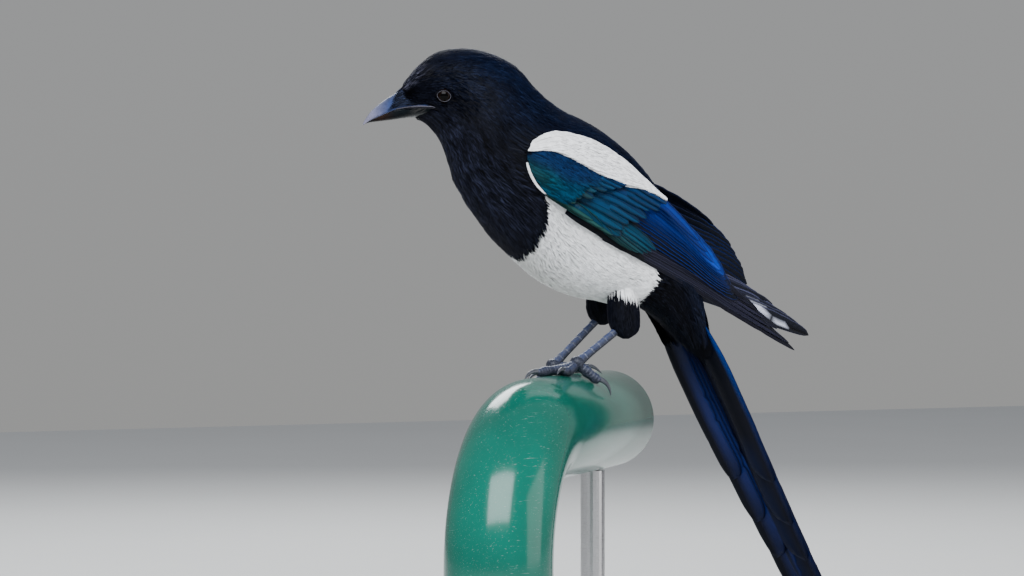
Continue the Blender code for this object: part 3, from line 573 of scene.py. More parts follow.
class Finish(Wiring):
    """A procedural material that reads the piece's own tint and its Object coordinates."""

    def __init__(self, name, colour, roughness, **sockets):
        self.made = bpy.data.materials.new(name)
        self.made.use_nodes = True
        super().__init__(self.made.node_tree)
        self.shader = self.nodes["Principled BSDF"].inputs
        self.shader["Base Color"].default_value = (*colour, 1.0)
        self.shader["Roughness"].default_value = roughness
        for socket, value in sockets.items():
            self.shader[socket.replace("_", " ")].default_value = value
        self.place = self.add("TexCoord").outputs["Object"]

    def tint(self):
        """The colour that each point of the piece has."""
        return self.add("Attribute", attribute_name="Tint").outputs["Color"]

    def turned(self, turn, scale):
        """The piece's place, turned and stretched for a pattern that runs one way."""
        return self.add("Mapping", {"Vector": self.place, "Rotation": turn, "Scale": scale}).outputs["Vector"]

    def shaded_tint(self, pattern, low, high):
        """The piece's own tint, made lighter and darker by a pattern."""
        return self.blend(1.0, self.tint(), self.reach(pattern, 0.3, 0.7, low, high), "MULTIPLY")

    def paint(self, colour):
        """Set the surface's colour."""
        self.feed(self.shader["Base Color"], colour)

    def paint_two(self, scale, first, second):
        """Two near colours in soft clouds."""
        self.paint(self.blend(self.noise(self.place, scale), first, second))

    def paint_sheen(self, under, blend, limits, colour):
        """A colour with another over it where the surface is seen at a slant."""
        slant = self.add("LayerWeight", {"Blend": blend}).outputs["Facing"]
        self.paint(self.blend(self.reach(slant, *limits), under, colour, "LIGHTEN"))

    def roughen(self, pattern, *limits):
        """Set the surface's roughness by a pattern."""
        self.feed(self.shader["Roughness"], self.reach(pattern, *limits))

    def bump(self, height, strength, distance):
        """Raise the surface's shading by a height."""
        inputs = {"Height": height, "Strength": strength, "Distance": distance}
        self.feed(self.shader["Normal"], self.add("Bump", inputs).outputs["Normal"])


def plumage_finish(name, roughness, gloss):
    """Soft body feathers: their own tint, with a navy sheen on the dark ones seen at a slant."""
    coat = Finish(name, BLACK, roughness, Specular_IOR_Level=gloss, IOR=1.3)
    mottled = coat.shaded_tint(coat.noise(coat.place, 420.0), 0.82, 1.12)
    coat.paint_sheen(mottled, 0.35, (0.15, 0.95, 0.0, 0.75), (0.0028, 0.0050, 0.022))
    return coat.made


def vane_finish(name, roughness, gloss):
    """Flight feathers: tint by web, fine slanting barbs and a silky gloss."""
    web = Finish(name, NAVY, roughness, Specular_IOR_Level=gloss, IOR=1.28)
    parts = web.add("SeparateXYZ", {0: web.add("UVMap", uv_map="Barbs").outputs["UV"]}).outputs
    outwards = web.maths("ABSOLUTE", parts[0])
    slanting = web.maths("SUBTRACT", parts[1], web.times(outwards, 1.3))
    drift = web.times(web.noise(web.place, 260.0), 0.10)
    barb = web.maths("SINE", web.times(web.maths("ADD", slanting, drift), 95.0))
    broad = web.add("CombineXYZ", {0: web.times(slanting, 22.0), 1: web.times(outwards, 1.5)}).outputs[0]
    streak = web.reach(web.noise(broad, 1.0, 4.0), 0.25, 0.75, 0.62, 1.3)
    streaked = web.blend(1.0, web.tint(), streak, "MULTIPLY")
    web.paint_sheen(streaked, 0.3, (0.2, 1.0, 0.0, 0.6), (0.005, 0.011, 0.040))
    web.bump(barb, 0.30, 0.00012)
    return web.made


def bill_finish():
    """Satin horn with a fine grain along the bill."""
    horn = Finish("bill_horn", (0.016, 0.015, 0.017), 0.24, Specular_IOR_Level=0.3, IOR=1.22)
    along = horn.turned((0.0, math.radians(-14), math.radians(HEAD_YAW)), (0.22, 1.0, 1.0))
    grain = horn.noise(along, 1300.0, 5.0)
    horn.paint(horn.shaded_tint(horn.noise(horn.place, 260.0), 0.75, 1.3))
    horn.roughen(grain, 0.3, 0.7, 0.18, 0.34)
    horn.bump(grain, 0.10, 0.0002)
    return horn.made


def leg_finish():
    """Blue grey scales with pale joints; the blue of the scales is the tint's painted sheen."""
    scales = Finish("leg_scales", (0.05, 0.056, 0.07), 0.38, IOR=1.3)
    cells = scales.add("TexVoronoi", {"Vector": scales.place, "Scale": 900.0}, feature="DISTANCE_TO_EDGE")
    edge = scales.reach(cells.outputs["Distance"], 0.0, 0.12, 0.0, 1.0)
    scaled = scales.shaded_tint(scales.noise(scales.place, 500.0), 0.7, 1.35)
    scales.paint(scales.blend(edge, (0.045, 0.050, 0.072), scaled))
    scales.bump(edge, 0.25, 0.0002)
    return scales.made


def eye_finish():
    """Dark brown iris round a black pupil, wet all over."""
    glaze = Finish("eye_glaze", (0.01, 0.007, 0.006), 0.04, Specular_IOR_Level=0.07)
    glaze.paint(glaze.shaded_tint(glaze.noise(glaze.place, 2600.0), 0.6, 1.4))
    return glaze.made


def claw_finish():
    """Dark horn, a little cloudy."""
    horn = Finish("claw_horn", (0.03, 0.032, 0.04), 0.32)
    horn.paint_two(700.0, (0.018, 0.019, 0.024), (0.07, 0.075, 0.095))
    horn.bump(horn.noise(horn.place, 2200.0), 0.1, 0.0001)
    return horn.made


def rail_finish():
    """Green gloss paint with fine scratches and dust."""
    gloss = Finish("rail_paint", (0.01, 0.22, 0.14), 0.2, Coat_Weight=0.12, Coat_Roughness=0.08,
                   Specular_IOR_Level=0.32)
    along = gloss.turned((0.0, 0.0, math.radians(-RAIL_YAW)), (0.6, 14.0, 14.0))
    scratch = gloss.reach(gloss.noise(along, 120.0, 6.0, 0.7), 0.60, 0.72, 0.0, 1.0)
    across = gloss.turned((0.3, 0.4, math.radians(30)), (16.0, 0.7, 12.0))
    nick = gloss.reach(gloss.noise(across, 110.0, 6.0, 0.7), 0.64, 0.72, 0.0, 1.0)
    wear = gloss.maths("MAXIMUM", scratch, nick)
    green = gloss.blend(gloss.noise(gloss.place, 28.0), (0.001, 0.060, 0.042), (0.002, 0.150, 0.105))
    gloss.paint(gloss.blend(gloss.times(wear, 0.35), green, (0.40, 0.52, 0.50)))
    gloss.roughen(wear, 0.0, 1.0, 0.16, 0.42)
    gloss.bump(wear, 0.15, -0.0001)
    return gloss.made


def board_finish():
    """Pale grey paint, slightly rough."""
    board = Finish("base_board", (0.50, 0.50, 0.48), 0.6)
    board.paint_two(30.0, (0.44, 0.44, 0.42), (0.53, 0.53, 0.51))
    board.bump(board.noise(board.place, 900.0), 0.1, 0.0002)
    return board.made


def rod_finish():
    """Steel brushed along the rods."""
    steel = Finish("rods", (0.45, 0.45, 0.46), 0.3, Metallic=1.0)
    grain = steel.noise(steel.turned((0.0, 0.0, 0.0), (1.0, 1.0, 30.0)), 200.0)
    steel.roughen(grain, 0.3, 0.7, 0.24, 0.44)
    steel.paint(steel.blend(grain, (0.40, 0.40, 0.41), (0.50, 0.50, 0.51)))
    return steel.made


def skin_finish():
    """Matt down between the feathers' roots."""
    skin = Finish("skin_down", BLACK, 0.8, Specular_IOR_Level=0.08, IOR=1.3)
    down = skin.noise(skin.place, 1500.0)
    skin.paint(skin.shaded_tint(down, 0.6, 1.1))
    skin.bump(down, 0.5, 0.0006)
    return skin.made


def floor_finish():
    """Plain grey paper."""
    paper = Finish("floor_paper", (0.62, 0.63, 0.62), 0.9, Specular_IOR_Level=0.1)
    paper.paint_two(3.0, (0.60, 0.60, 0.59), (0.64, 0.64, 0.63))
    return paper.made


PLUMAGE = plumage_finish("plumage", 0.50, 0.12)
VELVET = plumage_finish("face_velvet", 0.75, 0.02)
VANES = vane_finish("flight_vanes", 0.30, 0.25)
TAIL_VANES = vane_finish("tail_vanes", 0.30, 0.05)
SOFT_VANES = plumage_finish("soft_coverts", 0.40, 0.12)
BILL_HORN = bill_finish()
LEG_SCALES = leg_finish()
EYE_GLAZE = eye_finish()
CLAW_HORN = claw_finish()
RAIL_PAINT = rail_finish()
BOARD = board_finish()
ROD = rod_finish()
SKIN = skin_finish()
FLOOR = floor_finish()


def loft_rings(name, rings, finish, tint=None):
    """One closed form from rings (row, corner, place)."""
    return lay_rings(name, rings[None], finish, tint)


def tube_rings(path, radii, sides, helper=(0.0, 0.0, 1.0)):
    """Round rings across a path, one for each of its points."""
    path = np.asarray(path, float)
    ahead = unit(np.gradient(path, axis=0))
    across = np.cross(ahead[0], helper)
    rings = []
    for number, point in enumerate(path):
        across = unit(across - ahead[number] * (across @ ahead[number]))
        other = np.cross(across, ahead[number])
        turn = np.linspace(0, 2 * math.pi, sides, endpoint=False)
        ring = point + (across * np.cos(turn)[:, None] + other * np.sin(turn)[:, None]) * radii[number]
        rings.append(ring)
    return np.array(rings)


def apply_place(piece):
    """Carry a piece's own place and turn over to its points."""
    bpy.ops.object.select_all(action="DESELECT")
    piece.select_set(True)
    bpy.context.view_layer.objects.active = piece
    bpy.ops.object.transform_apply(location=True, rotation=True, scale=True)


def point_tint(piece, tint):
    """Give each point of a piece its own colour."""
    layer = piece.data.color_attributes.new(name="Tint", type="FLOAT_COLOR", domain="POINT")
    rgba = np.ones((len(piece.data.vertices), 4), np.float32)
    rgba[:, :3] = tint
    layer.data.foreach_set("color", rgba.ravel())


def spots_of(piece):
    """All points of a piece in bird millimetres."""
    spots = np.empty(len(piece.data.vertices) * 3, np.float32)
    piece.data.vertices.foreach_get("co", spots)
    return spots.reshape(-1, 3) / MM - CREST


def face_out(piece):
    """Turn all faces of a closed piece outwards."""
    form = bmesh.new()
    form.from_mesh(piece.data)
    bmesh.ops.recalc_face_normals(form, faces=form.faces)
    form.to_mesh(piece.data)
    form.free()


def close_piece(piece, slot, *nodes):
    """Face a closed piece outwards and hide the solids that it stands for; the slot is not used."""
    face_out(piece)
    if nodes:
        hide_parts(*nodes)


# strands
TUFT_LIGHT = np.random.default_rng(7).uniform(0.55, 1.55, 997)


def tuft_of(at, angle):
    """The middle angle of the tuft that each strand belongs to, and how light the tuft is."""
    column = np.floor(angle / 5.0)
    row = np.floor(at * 3.4 + 0.5 * (column % 2) + 0.35 * np.sin(column * 2.3))
    light = TUFT_LIGHT[((row * 73 + column * 151) % 997).astype(int)]
    return (column + 0.5) * 5.0, light


def wander(at, angle, seed):
    """A smooth drift over the body between -1 and 1."""
    turn = np.radians(angle)
    first = np.sin(at * 4.1 + 4.0 * np.sin(turn * 2 + seed) + seed)
    second = np.sin(at * 6.7 - 8.0 * np.cos(turn) + 2.1 * seed)
    return (first + second) / 2


def lay_strands(name, path, outward, half, thick, tint, place, slot="plumage", soft=0.55, finish=None):
    """Closed three-cornered strands that run to a point; their light follows the coat's surface."""
    forms, rows, _ = path.shape
    ahead = unit(np.gradient(path, axis=1))
    surface = unit(outward)
    upright = unit(surface - ahead * (surface * ahead).sum(-1, keepdims=True))
    beside = np.cross(ahead, upright)
    wide = beside * half[..., None]
    rings = np.stack((path - wide, path + upright * (half * thick)[..., None], path + wide), 2)
    middle = unit(0.6 * surface + 0.4 * upright)
    light = np.stack((middle - beside * soft, middle, middle + beside * soft), 2)
    count = 3 * (rows - 1) + 1
    points = np.concatenate((rings[:, :-1].reshape(forms, -1, 3), path[:, -1:]), axis=1)
    lights = np.concatenate((light[:, :-1].reshape(forms, -1, 3), middle[:, -1:]), axis=1)
    tints = np.broadcast_to(tint, (forms, rows, 3))
    tints = np.concatenate((np.repeat(tints[:, :-1], 3, axis=1), tints[:, -1:]), axis=1)
    loops = []
    for row in range(rows - 2):
        for corner in range(3):
            here = 3 * row + corner
            beside_it = 3 * row + (corner + 1) % 3
            loops += [here, beside_it, beside_it + 3, here + 3]
    for corner in range(3):
        loops += [3 * (rows - 2) + corner, 3 * (rows - 2) + (corner + 1) % 3, count - 1]
    loops += [2, 1, 0]
    sizes = [4] * (3 * (rows - 2)) + [3] * 4
    starts = np.concatenate(([0], np.cumsum(sizes)[:-1]))
    forms_row = np.arange(forms)[:, None]
    all_loops = (np.array(loops)[None, :] + forms_row * count).reshape(-1)
    all_starts = (starts[None, :] + forms_row * len(loops)).reshape(-1)
    spread = np.tile((-0.5, 0.0, 0.5), rows - 1) * PATCH
    run = np.repeat(np.linspace(-0.5, 0.5, rows)[:-1], 3) * PATCH
    shape = np.stack((np.append(spread, 0.0), np.append(run, 0.5 * PATCH)), -1)
    places = (place[:, None, :] + shape[None]).reshape(-1, 2)
    piece = lay_mesh(name, points.reshape(-1, 3), all_loops, all_starts, finish or PLUMAGE,
                     np.clip(tints, 0, 0.95).reshape(-1, 3), {"OFBake": places})
    piece.data.normals_split_custom_set_from_vertices(unit(lights.reshape(-1, 3)).tolist())
    return piece


def taper(part, power=2.2):
    """How a strand's width runs: slim at the root, full in the middle, fine at the tip."""
    return np.clip(0.55 + 2.5 * part, 0, 1) * np.clip(1.1 - part ** power, 0.05, 1.0)


def dense(number):
    return number


def bake_place(at, angle):
    """Where a root lies on the skin's own unwrap."""
    across = 0.02 + 0.70 * ((angle / 360.0) % 1.0)
    along = 0.02 + 0.96 * np.clip(at / LAST_AT, 0.0, 1.0)
    return np.stack((across, along), -1)


def paces(at, angle):
    """How many millimetres one row along the body and one degree round it are."""
    ahead = body_points(at + 0.02, angle) - body_points(at - 0.02, angle)
    around = body_points(at, angle + 1) - body_points(at, angle - 1)
    return np.linalg.norm(ahead, axis=-1) / 0.04, np.linalg.norm(around, axis=-1) / 2


def strands(name, at, angle, length, half, splay, rows=4, shaggy=0.3, clear=False, finish=None):
    """Fine closed strands that rise from the skin, gather into tufts and lie along the body."""
    count = len(at)
    length = np.broadcast_to(length, count) * CHANCE.uniform(0.75, 1.2, count)
    half = np.broadcast_to(half, count) * CHANCE.uniform(0.8, 1.25, count)
    length = length * np.clip(border_gap(at, angle) / BORDER_FULL, BORDER_SHORTEST, 1.0)
    turn = np.radians(CHANCE.normal(0.0, splay, count) + 7.0 * wander(at, angle, 1.0))
    speed, girth = paces(at, angle)
    part = np.linspace(0.0, 1.0, rows)[None, :]
    run = length[:, None] * part
    middle, light = tuft_of(at, angle)
    at_rows = at[:, None] + run * np.cos(turn)[:, None] / speed[:, None]
    angle_rows = angle[:, None] + run * np.sin(turn)[:, None] / girth[:, None]
    away = border_gap(at_rows[:, -1], angle)[:, None]
    angle_rows = angle_rows + GATHER * np.clip(away / 0.8, 0.1, 1.0) * part * (middle - angle)[:, None]
    past = np.clip(at_rows - (LAST_AT - 0.001), 0.0, None)
    proud = (CHANCE.uniform(-shaggy, shaggy, count) + shaggy * (light - 1.0))[:, None]
    proud = proud * np.minimum(1.0, part * 1.5) * (1 - 0.65 * white_share(at, angle))[:, None]
    rise = np.sin(np.minimum(1.0, part * 1.35) * math.pi / 2)
    grow = coat_top(at_rows, angle_rows) - (coat_depth(at_rows) + 0.4) * (1 - rise) + proud
    path = body_points(at_rows, angle_rows, grow)
    if past.max() > 0:
        path = path + (past * BEYOND_STEP)[..., None] * np.array(BEYOND_RUN)
    outward = body_points(at_rows, angle_rows, grow + 1.0) - body_points(at_rows, angle_rows, grow)
    keep = ~bare_face(path) if clear else np.ones(count, bool)
    tip_share = CHANCE.uniform(0.45, 0.85, count)
    seen_at = at + tip_share * (at_rows[:, -1] - at)
    seen_angle = angle + tip_share * (angle_rows[:, -1] - angle)
    colours = body_tint(seen_at, seen_angle, count)
    dark = np.clip(1 - colours.mean(axis=1) / 0.3, 0, 1)[:, None]
    colours = colours * (1 + (light[:, None] - 1) * (0.03 + 0.97 * dark))
    # painted shade and light: each strand darker at its root, under the strands over it, and paler at its tip
    painted_root_shade_tip_light = 1.0 + (0.05 + 0.40 * dark[keep])[:, None, :] * np.linspace(-1, 1, rows)[None, :, None]
    colours = colours[keep][:, None, :] * painted_root_shade_tip_light
    place = bake_place(at, angle)[keep]
    path = path[keep]
    outward = outward[keep]
    width = half[keep][:, None] * taper(part)
    total = len(path)
    strand_faces = 6 * (rows - 2) + 4
    parts = math.ceil(total * strand_faces / TRIANGLES_MOST)
    for number in range(parts):
        chosen = slice(number * total // parts, (number + 1) * total // parts)
        label = f"{name}_{number + 1}" if parts > 1 else name
        lay_strands(label, path[chosen], outward[chosen], width[chosen], 0.35, colours[chosen],
                    place[chosen], finish=finish)


def bare_face(path):
    """Strands that would cross an eye, the lips or the bare root of the lower bill."""
    cut = np.zeros(len(path), bool)
    for side in (-1, 1):
        centre, outward = eye_place(side)
        away = path - centre
        deep = away @ outward
        flat = away - deep[..., None] * outward
        flat[..., 2] *= 1.12
        near = (deep > -3) & (np.linalg.norm(flat, axis=-1) < LID_OUTER - 0.2)
        cut |= near.any(axis=1)
    forward, _, height = head_sizes(path)
    mouth = np.interp(forward, BEAK[:, 0], BEAK[:, 2])
    low = np.interp(forward, BEAK[:, 0], BEAK[:, 3])
    root = (height > low - 0.6) & (height < mouth + 0.7) & (forward > 16.6 + (mouth - height) * 1.25)
    lips = (np.abs(height - mouth - 0.1) < 0.75) & (forward > 12.6) & (forward < 29)
    return cut | root.any(axis=1) | lips.any(axis=1)


def scatter(first, last, count):
    """Even random roots over part of the body, sorted from front to back."""
    made_at = []
    made_angle = []
    while sum(len(row) for row in made_at) < count:
        at = CHANCE.uniform(first, last, count)
        angle = CHANCE.uniform(-180.0, 180.0, count)
        ahead, around = paces(at, angle)
        area = ahead * around
        kept = CHANCE.uniform(0, 1, count) < area / np.percentile(area, 98)
        made_at.append(at[kept])
        made_angle.append(angle[kept])
    at = np.concatenate(made_at)[:count]
    angle = np.concatenate(made_angle)[:count]
    order = np.argsort(at)
    return at[order], angle[order]


def under_wing(at, angle):
    """True where a folded wing hides the body."""
    points = body_points(at, angle)
    hidden = np.zeros(len(at), bool)
    for side in (-1, 1):
        along, across = wing_place(side, points)
        low = np.interp(along, *WING_LOW)
        high = np.interp(along, *WING_HIGH)
        hidden |= (along > 2) & (along < 92) & (across > low) & (across < high) & (points[:, 1] * side > 0)
    return hidden


# skin
def trouser_path(side):
    """Middle line and radius of the skin round a leg's top."""
    rows = trouser_rows(side, TROUSER_COAT)
    fine = smooth_rows(rows, np.linspace(0, len(rows) - 1, 16))
    return fine[:, :3], fine[:, 3]


def arm_rings(side):
    """The arm under the wing's feathers."""
    rings = []
    for step in range(17):
        part = step / 16
        along = -4.0 + 100.0 * part
        low = -3.0 - 8.0 * math.sin(math.pi * min(1.0, part * 1.25 + 0.12)) + 3.0 * part
        high = 9.0 + 8.0 * math.sin(math.pi * min(1.0, part + 0.15))
        rounding = math.sqrt(max(0.0, 1 - (2 * part - 1) ** 6))
        middle = (low + high) / 2
        wide = (high - low) / 2 * (0.35 + 0.65 * rounding)
        turn = np.linspace(0, 2 * math.pi, 20, endpoint=False)
        outward = np.where(np.sin(turn) > 0, 1.4 * rounding * np.sin(turn), 9.0 * np.sin(turn)) - 2.2
        rings.append(wing_points(side, along, middle + wide * np.cos(turn), outward))
    return np.array(rings)


def make_skin():
    """One skin over head, body, legs' tops and arms, joined without a seam."""
    at = np.linspace(0.0, SKIN_END, 110)
    angle = np.linspace(0, 360, 72, endpoint=False)
    rows = body_points(at[:, None], angle[None, :],
                       coat_top(at[:, None], angle[None, :]) - coat_depth(at)[:, None])
    parts = [loft_rings("skin", rows, SKIN)]
    for side in (-1, 1):
        path, radii = trouser_path(side)
        parts.append(loft_rings("leg_top", tube_rings(path, radii - 1.2, 28), SKIN))
        parts.append(loft_rings("arm", arm_rings(side), SKIN))
    for piece in parts:
        face_out(piece)
    bpy.ops.object.select_all(action="DESELECT")
    for piece in parts:
        piece.select_set(True)
    skin = parts[0]
    bpy.context.view_layer.objects.active = skin
    bpy.ops.object.join()
    remesh = skin.modifiers.new("one_skin", "REMESH")
    remesh.mode = "VOXEL"
    remesh.voxel_size = 1.1 * MM
    bpy.ops.object.modifier_apply(modifier="one_skin")
    relax = skin.modifiers.new("relax", "SMOOTH")
    relax.factor = 0.5
    relax.iterations = 4
    bpy.ops.object.modifier_apply(modifier="relax")
    bpy.ops.object.shade_smooth()
    grid_at, grid_angle = np.meshgrid(np.linspace(0, LAST_AT, 120), np.linspace(-180, 180, 90))
    places = body_points(grid_at.ravel(), grid_angle.ravel())
    tree = KDTree(len(places))
    for number, place in enumerate(places):
        tree.insert(place, number)
    tree.balance()
    spots = spots_of(skin)
    found = np.array([tree.find(spot)[1] for spot in spots])
    tint = body_tint(grid_at.ravel()[found], grid_angle.ravel()[found], len(spots))
    for side, middle in TROUSER.items():
        low = (spots[:, 2] < middle[2] + 3) & (np.abs(spots[:, 1] - middle[1]) < 12)
        tint[low & (np.abs(spots[:, 0] - middle[0]) < 13)] = BLACK
    for side in (-1, 1):
        along, across = wing_place(side, spots)
        arm = (spots[:, 1] * side > 22) & (along > -6) & (along < 105) & (across > -14) & (across < 24)
        tint[arm] = NAVY
    point_tint(skin, tint)
    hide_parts("head", "neck", "torso", "thigh_left", "thigh_right")
    return skin


# eyes, lids and bill
def make_eye(side, word):
    """One eyeball, coloured by point as iris, pupil and dark rim."""
    centre, outward = eye_place(side)
    turned = Vector(outward).to_track_quat("Z", "Y").to_euler()
    bpy.ops.mesh.primitive_uv_sphere_add(segments=48, ring_count=32, radius=EYE_RADIUS * MM,
                                         location=tuple((centre + CREST) * MM), rotation=turned)
    eye = bpy.context.object
    eye.name = f"eyeball_{word}"
    apply_place(eye)
    bpy.ops.object.shade_smooth()
    spots = spots_of(eye)
    away = spots - centre
    deep = away @ outward
    flat = np.linalg.norm(away - deep[:, None] * outward, axis=-1)
    iris = (deep > 0) & (flat < IRIS_RADIUS) & (flat > PUPIL_RADIUS)
    tint = np.full((len(spots), 3), 0.0008)
    tint[iris] = (0.0040, 0.0020, 0.0014)
    point_tint(eye, tint)
    eye.data.materials.append(EYE_GLAZE)
    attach(eye, BODY)
    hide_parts(f"eye_{word}")


def make_lids(side, word):
    """A thin pale ring round the eye, slightly almond shaped, and its dark rim."""
    centre, outward = eye_place(side)
    back = unit(body_points(EYE_AT + 0.3, side * EYE_ANGLE) - body_points(EYE_AT - 0.3, side * EYE_ANGLE))
    back = unit(back - outward * (back @ outward))
    up = np.cross(back, outward)
    up = up if up[2] > 0 else -up
    turn = np.linspace(0, 2 * math.pi, 72, endpoint=False)
    rings = []
    for radius, height in LID_PROFILE:
        corner = 1 + 0.10 * hump(np.cos(turn), -1, 0.10) + 0.07 * hump(np.cos(turn), 1, 0.10)
        wrinkle = 1 + 0.010 * np.sin(turn * 23) * (radius > 3.0)
        flat = radius * corner * wrinkle
        deep = math.sqrt(EYE_RADIUS ** 2 - LID_INNER ** 2) + height
        rings.append(centre + outward * deep + (back * (flat * np.cos(turn))[:, None]
                                                + up * (flat * np.sin(turn) * 0.88)[:, None]))
    rings = np.array(rings)
    rows, sides, _ = rings.shape
    row, corner = np.meshgrid(np.arange(rows), np.arange(sides), indexing="ij")
    here = row * sides + corner
    beside = row * sides + (corner + 1) % sides
    above = (row + 1) % rows * sides + (corner + 1) % sides
    over = (row + 1) % rows * sides + corner
    loops = np.stack((here, beside, above, over), -1).reshape(-1)
    tint = np.zeros((rows, sides, 3)) + np.array((0.004, 0.004, 0.006))
    tint[1:3] = (0.105, 0.105, 0.130)
    tint[3] = (0.012, 0.012, 0.016)
    lids = lay_mesh(f"lids_{word}", rings.reshape(-1, 3), loops, np.arange(rows * sides) * 4, BILL_HORN,
                    tint.reshape(-1, 3))
    close_piece(lids, "plumage")


def bill_rows(upper):
    """Fine rings of one half of the bill, with a ridge and a slightly hooked tip."""
    reach_on = len(BEAK) - 1 if upper else len(BEAK) - 2.6
    fine = smooth_rows(BEAK, np.linspace(0, reach_on, 90))
    rings = []
    for number, (forward, culmen, mouth, low, half) in enumerate(fine):
        turn = np.linspace(0, math.pi, 21)
        edge = mouth + (0.0 if upper else -0.12)
        tall = culmen - edge if upper else max(edge - low, 0.12)
        sign = 1.0 if upper else -1.0
        keel = 1 - 0.16 * np.sin(turn) ** 2 * (1 if upper else 0.4)
        wide = half * (1.0 if upper else 0.97)
        if not upper:
            wide *= math.sqrt(max(0.02, 1 - max(0.0, (number - 80) / 10) ** 2))
        side = wide * np.cos(turn) * keel
        height = edge + sign * tall * np.sin(turn) ** (0.9 if upper else 0.8)
        ring = head_points(forward, side, height)
        inner = head_points(forward, wide * 0.75 * np.cos(turn[::-1][4:-4]), edge + sign * tall * 0.10)
        rings.append(np.vstack((ring, inner)))
    return np.array(rings)


def make_lips():
    """The fleshy edge of the mouth, from the bill's side back to the corner under the eye."""
    forms = []
    tints = []
    for side in (-1, 1):
        for upper in (True, False):
            forward = np.linspace(11.0, 30.0 if upper else 26.0, 60)
            part = np.linspace(0, 1, 60)
            mouth = np.interp(forward, BEAK[:, 0], BEAK[:, 2]) - 0.3 * hump(forward, 11.0, 2.5)
            half = np.interp(forward, LIP_AT, LIP_HALF)
            fine = np.sin(math.pi * np.clip(part * 0.9 + 0.05, 0, 1)) ** 0.5
            thick = 0.38 if upper else 0.32
            radius = 0.07 + thick * fine * (1 - 0.40 * part) * np.clip(0.22 + 1.6 * part, 0, 1)
            sunk = 0.7 * np.clip(1 - part / 0.10, 0, 1)
            path = head_points(forward, side * (half - 0.02 - sunk), mouth + (0.28 if upper else -0.42))
            forms.append(tube_rings(path, radius, 10))
            # the upper lip's pale grey is partly the mouth's pale edge and partly a painted highlight along
            # the bill's edge; both lips darken toward the back
            pale = np.array((0.080, 0.078, 0.100) if upper else (0.012, 0.012, 0.016))
            tints.append(np.broadcast_to(pale * (1.1 - 0.5 * part[:, None, None]), (60, 10, 3)))
    lips = lay_rings("mouth_edges", np.array(forms), BILL_HORN, np.array(tints))
    close_piece(lips, "bill")


def mouth_hairs():
    """A few hairs that hang over the corner of the mouth."""
    count = 32
    side = np.repeat((-1, 1), count // 2)
    begin = CHANCE.uniform(15.5, 21.0, count)
    reach_on = CHANCE.uniform(2.5, 6.0, count)
    drop = CHANCE.uniform(1.2, 3.6, count)
    run = np.linspace(0, 1, 5)[None, :]
    forward = begin[:, None] + reach_on[:, None] * run
    mouth = np.interp(begin, BEAK[:, 0], BEAK[:, 2])[:, None]
    half = np.interp(forward, BEAK[:, 0], BEAK[:, 4]) + 0.35
    path = head_points(forward, side[:, None] * half, mouth - 0.2 - drop[:, None] * run ** 0.8)
    leftward = head_points(0.0, 1.0, 0.0) - head_points(0.0, 0.0, 0.0)
    outward = np.broadcast_to(leftward, path.shape) * side[:, None, None]
    place = np.stack((0.76 + 0.004 * np.arange(count), np.full(count, 0.72)), -1)
    lay_strands("mouth_hairs", path, outward, np.full((count, 5), 0.09), 0.9,
                np.full((count, 1, 3), 0.022), place)


def make_bill():
    """Both halves of the bill."""
    for word in ("upper", "lower"):
        upper = word == "upper"
        rings = bill_rows(upper)
        bill = loft_rings(f"beak_{word}", rings, BILL_HORN, bill_colours(rings, upper)[None])
        close_piece(bill, "bill", f"bill_{word}")


# coat on the body
def open_roots(first, last, number):
    """Roots of strands spread over the body where no wing covers it."""
    at, angle = scatter(first, last, dense(number))
    shown = ~under_wing(at, angle)
    return at[shown], angle[shown]


def make_coat():
    """Fine strands over the whole body, shortest on the face and longest on the belly and vent."""
    at, angle = scatter(0.25, 5.2, dense(32000))
    near = np.full(len(at), 9.0)
    for side in (-1, 1):
        centre, _ = eye_place(side)
        near = np.minimum(near, np.linalg.norm(body_points(at, angle) - centre, axis=-1))
    length = np.interp(at, (0.3, 2.0, 3.5, 5.2), (2.8, 3.6, 4.6, 7.0))
    length = length * np.clip((near - 2.6) / 5.0, 0.35, 1.0)
    half = np.interp(at, (0.3, 2.0, 5.2), (0.17, 0.19, 0.28))
    side_on = np.abs(np.abs(angle) - 92.0) + CHANCE.normal(0, 8.0, len(at))
    velvet = (at + CHANCE.normal(0, 0.40, len(at)) < np.interp(side_on, (0, 26, 36), (4.3, 3.6, 0.0)))
    fur = ~velvet
    strands("coat_head", at[fur], angle[fur], length[fur], half[fur], 7.0, rows=3, shaggy=0.28, clear=True)
    strands("coat_face", at[velvet], angle[velvet], length[velvet], half[velvet], 7.0, rows=3, shaggy=0.20,
            clear=True, finish=VELVET)
    at, angle = open_roots(4.8, 8.4, 21000)
    length = np.interp(at, (4.8, 8.4), (7.0, 10.5))
    strands("coat_neck", at, angle, length, 0.31, 6.0, shaggy=0.40)
    at, angle = open_roots(8.2, 13.6, 25500)
    length = np.interp(np.abs(angle), (0, 90, 180), (9.0, 11.0, 12.0))
    strands("coat_body", at, angle, length, 0.36, 6.0, shaggy=0.30)
    at, angle = scatter(13.2, 14.7, dense(3600))
    strands("coat_vent", at, angle, 7.5, 0.42, 5.0, shaggy=0.4)


